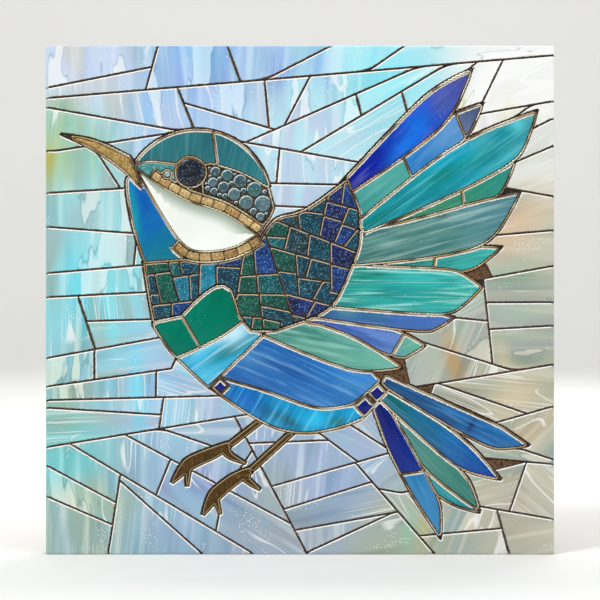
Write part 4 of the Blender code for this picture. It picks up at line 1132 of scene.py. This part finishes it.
def makeBronze():
    bronze = Shader("speckledBronze", Roughness=0.45, Metallic=0.2, Specular_IOR_Level=0.25)
    grain, rim = bronze.attributes("grain", "rim")
    cloud = bronze.noise(grain, 0.25, 4.0)
    base = bronze.mix(bronze.band(cloud, 0.35, 0.7), colour(legLook["bronze"]), colour(legLook["light"]))
    dots = bronze.cells(grain, 1.1)
    some = bronze.band(bronze.noise(grain, 0.4, 2.0), 0.48, 0.58)
    specks = bronze.times(bronze.under(dots["Distance"], 0.15, 0.32), some)
    base = bronze.over(base, specks, legLook["speck"])
    base = bronze.over(base, bronze.under(rim, 0.10, 0.40), legLook["edge"])
    height = bronze.math("ADD", cloud, specks)
    return bronze.finish(base, normal=bronze.bump(height, 0.4, 0.0004))


def buildLegs():
    bronze = makeBronze()

    def swell(rim, places):
        face = legLook["front"] + rounded(rim, legLook["round"])
        return face + legLook["crown"] * rising(rim, legLook["round"], legLook["swell"])

    for node in ("leg_front", "leg_back"):
        ring = softRing(largestRing(node), 0.6 * mm, 0.9 * mm)
        addPiece(camel(node) + "Bronze", node, ring, swell, (0.12, 0.28, 0.5, 0.9), 1.3 * mm,
                 plainPaint(seed=5), bronze)


buildLegs()
print("legs ready")


# gilt rope along the bird's seams

# deep is the colour of the painted shade in the rope's creases
ropeLook = {"gap": 1.15 * mm, "strand": 0.31 * mm, "apart": 0.24 * mm, "pitch": 2.5 * mm, "step": 0.40 * mm,
            "centre": 11.20 * mm, "gold": "c4a06a", "light": "fbf0d6", "brown": "4e3220", "deep": "1e120a",
            "sides": 8, "end": 0.1488, "joined": 1.05 * mm,
            "heavy": (((60, 104), (96, 133), 3.0, 0.9), ((-112, 88), (-98, 80), 3.5, 0.4),
                      ((70, 86), (90, 104), 3.0, 0.2))}


def makeRopeGold():
    gold = Shader("giltRope", Metallic=0.7, Roughness=0.32)
    # painted shade in the creases between the strands
    creaseShade = gold.attribute("tone")
    place = gold.place()
    patch = gold.noise(place, 45, 3.0)
    fine = gold.noise(place, 900, 2.0)
    base = gold.mix(gold.band(patch, 0.36, 0.60), colour(ropeLook["gold"]), colour(ropeLook["light"]))
    base = gold.over(base, gold.band(gold.noise(place, 70, 3.0), 0.50, 0.64, 0.8), ropeLook["brown"])
    base = gold.over(base, creaseShade, ropeLook["deep"])
    return gold.finish(base, normal=gold.bump(fine, 0.3, 0.0002))


def seamPaths():
    # the middle of each seam: piece outlines moved out, each stretch laid once
    laid = np.zeros((0, 2))
    paths = []
    for ring in birdRings.values():
        line = ring - sideways(ring) * ropeLook["gap"]
        line = line[(np.abs(line) < ropeLook["end"]).all(1)]
        free = np.ones(len(line), bool)
        if len(laid):
            for start in range(0, len(line), 300):
                gaps = ((line[start:start + 300, None, :] - laid) ** 2).sum(2).min(1)
                free[start:start + 300] = gaps > ropeLook["joined"] ** 2
        if free.all():
            paths.append(np.concatenate([line, line[:1]]))
        elif free.any():
            turn = int(np.flatnonzero(~free)[0])
            line, free = np.roll(line, -turn, axis=0), np.roll(free, -turn)
            run = []
            for index in range(len(line) + 1):
                if index < len(line) and free[index]:
                    run.append(index)
                elif run:
                    ends = [run[0] - 1] + run + [(run[-1] + 1) % len(line)]
                    if len(run) > 1:
                        paths.append(line[ends])
                    run = []
        laid = np.concatenate([laid, line[free]])
    return paths


def evenly(path, step):
    gaps = np.hypot(*(path[1:] - path[:-1]).T)
    reach = np.concatenate([[0], np.cumsum(gaps)])
    count = max(2, int(reach[-1] / step) + 1)
    at = np.linspace(0, reach[-1], count)
    return np.stack([np.interp(at, reach, path[:, 0]), np.interp(at, reach, path[:, 1])], 1), at


def thickness(x, z):  # the rope is heavier along the top of the wing and at the beak
    swell = 1.0
    for (ax, az), (bx, bz), reach, more in ropeLook["heavy"]:
        a, b, p = Vector((ax, az)), Vector((bx, bz)), Vector((x / mm, z / mm))
        share = max(0.0, min(1.0, (p - a).dot(b - a) / (b - a).length_squared))
        swell += more * math.exp(-((a + (b - a) * share - p).length / reach) ** 2)
    return swell * (0.96 + 0.28 * noise.noise(Vector((x * 90, z * 90, 3))))


def buildRope():
    heap = newHeap()
    sides, apart, strand = ropeLook["sides"], ropeLook["apart"], ropeLook["strand"]
    length = 0
    for path in seamPaths():
        line, at = evenly(path, ropeLook["step"])
        length += at[-1]
        start = len(heap["points"])
        tangent = np.gradient(line, axis=0)
        tangent = tangent / np.hypot(*tangent.T)[:, None].clip(1e-9)
        for (x, z), (tx, tz), along in zip(line, tangent, at):
            spin = 2 * math.pi * along / (2 * ropeLook["pitch"])
            heavy = thickness(x, z)
            for side in range(sides):
                angle = 2 * math.pi * side / sides
                lobe = math.cos(angle - spin)
                radius = apart * abs(lobe) + math.sqrt(strand ** 2 - (apart * math.sin(angle - spin)) ** 2)
                across, out = radius * math.cos(angle) * heavy, radius * math.sin(angle) * heavy
                heap["points"].append((x - tz * across, -(ropeLook["centre"] + out), z + tx * across))
                # tone holds how far the point lies between the strands, for the painted shade there
                heap["tone"].append(max(0.0, 1 - abs(lobe) * 1.5))
        count = len(line)
        for ring in range(count - 1):
            for side in range(sides):
                a, b = start + ring * sides + side, start + ring * sides + (side + 1) % sides
                heap["faces"].append([a, b, b + sides, a + sides])
        heap["faces"].append([start + side for side in reversed(range(sides))])
        heap["faces"].append([start + (count - 1) * sides + side for side in range(sides)])
    for key in ("rim", "lit", "grain", "body", "second", "streak"):
        heap.pop(key)
    addMesh("giltRope", heap, makeRopeGold(), "gilt_wire", 80)
    return length


ropeLength = buildRope()
print("gilt rope ready: %.2f m" % ropeLength)

scene.view_settings.view_transform = "Standard"
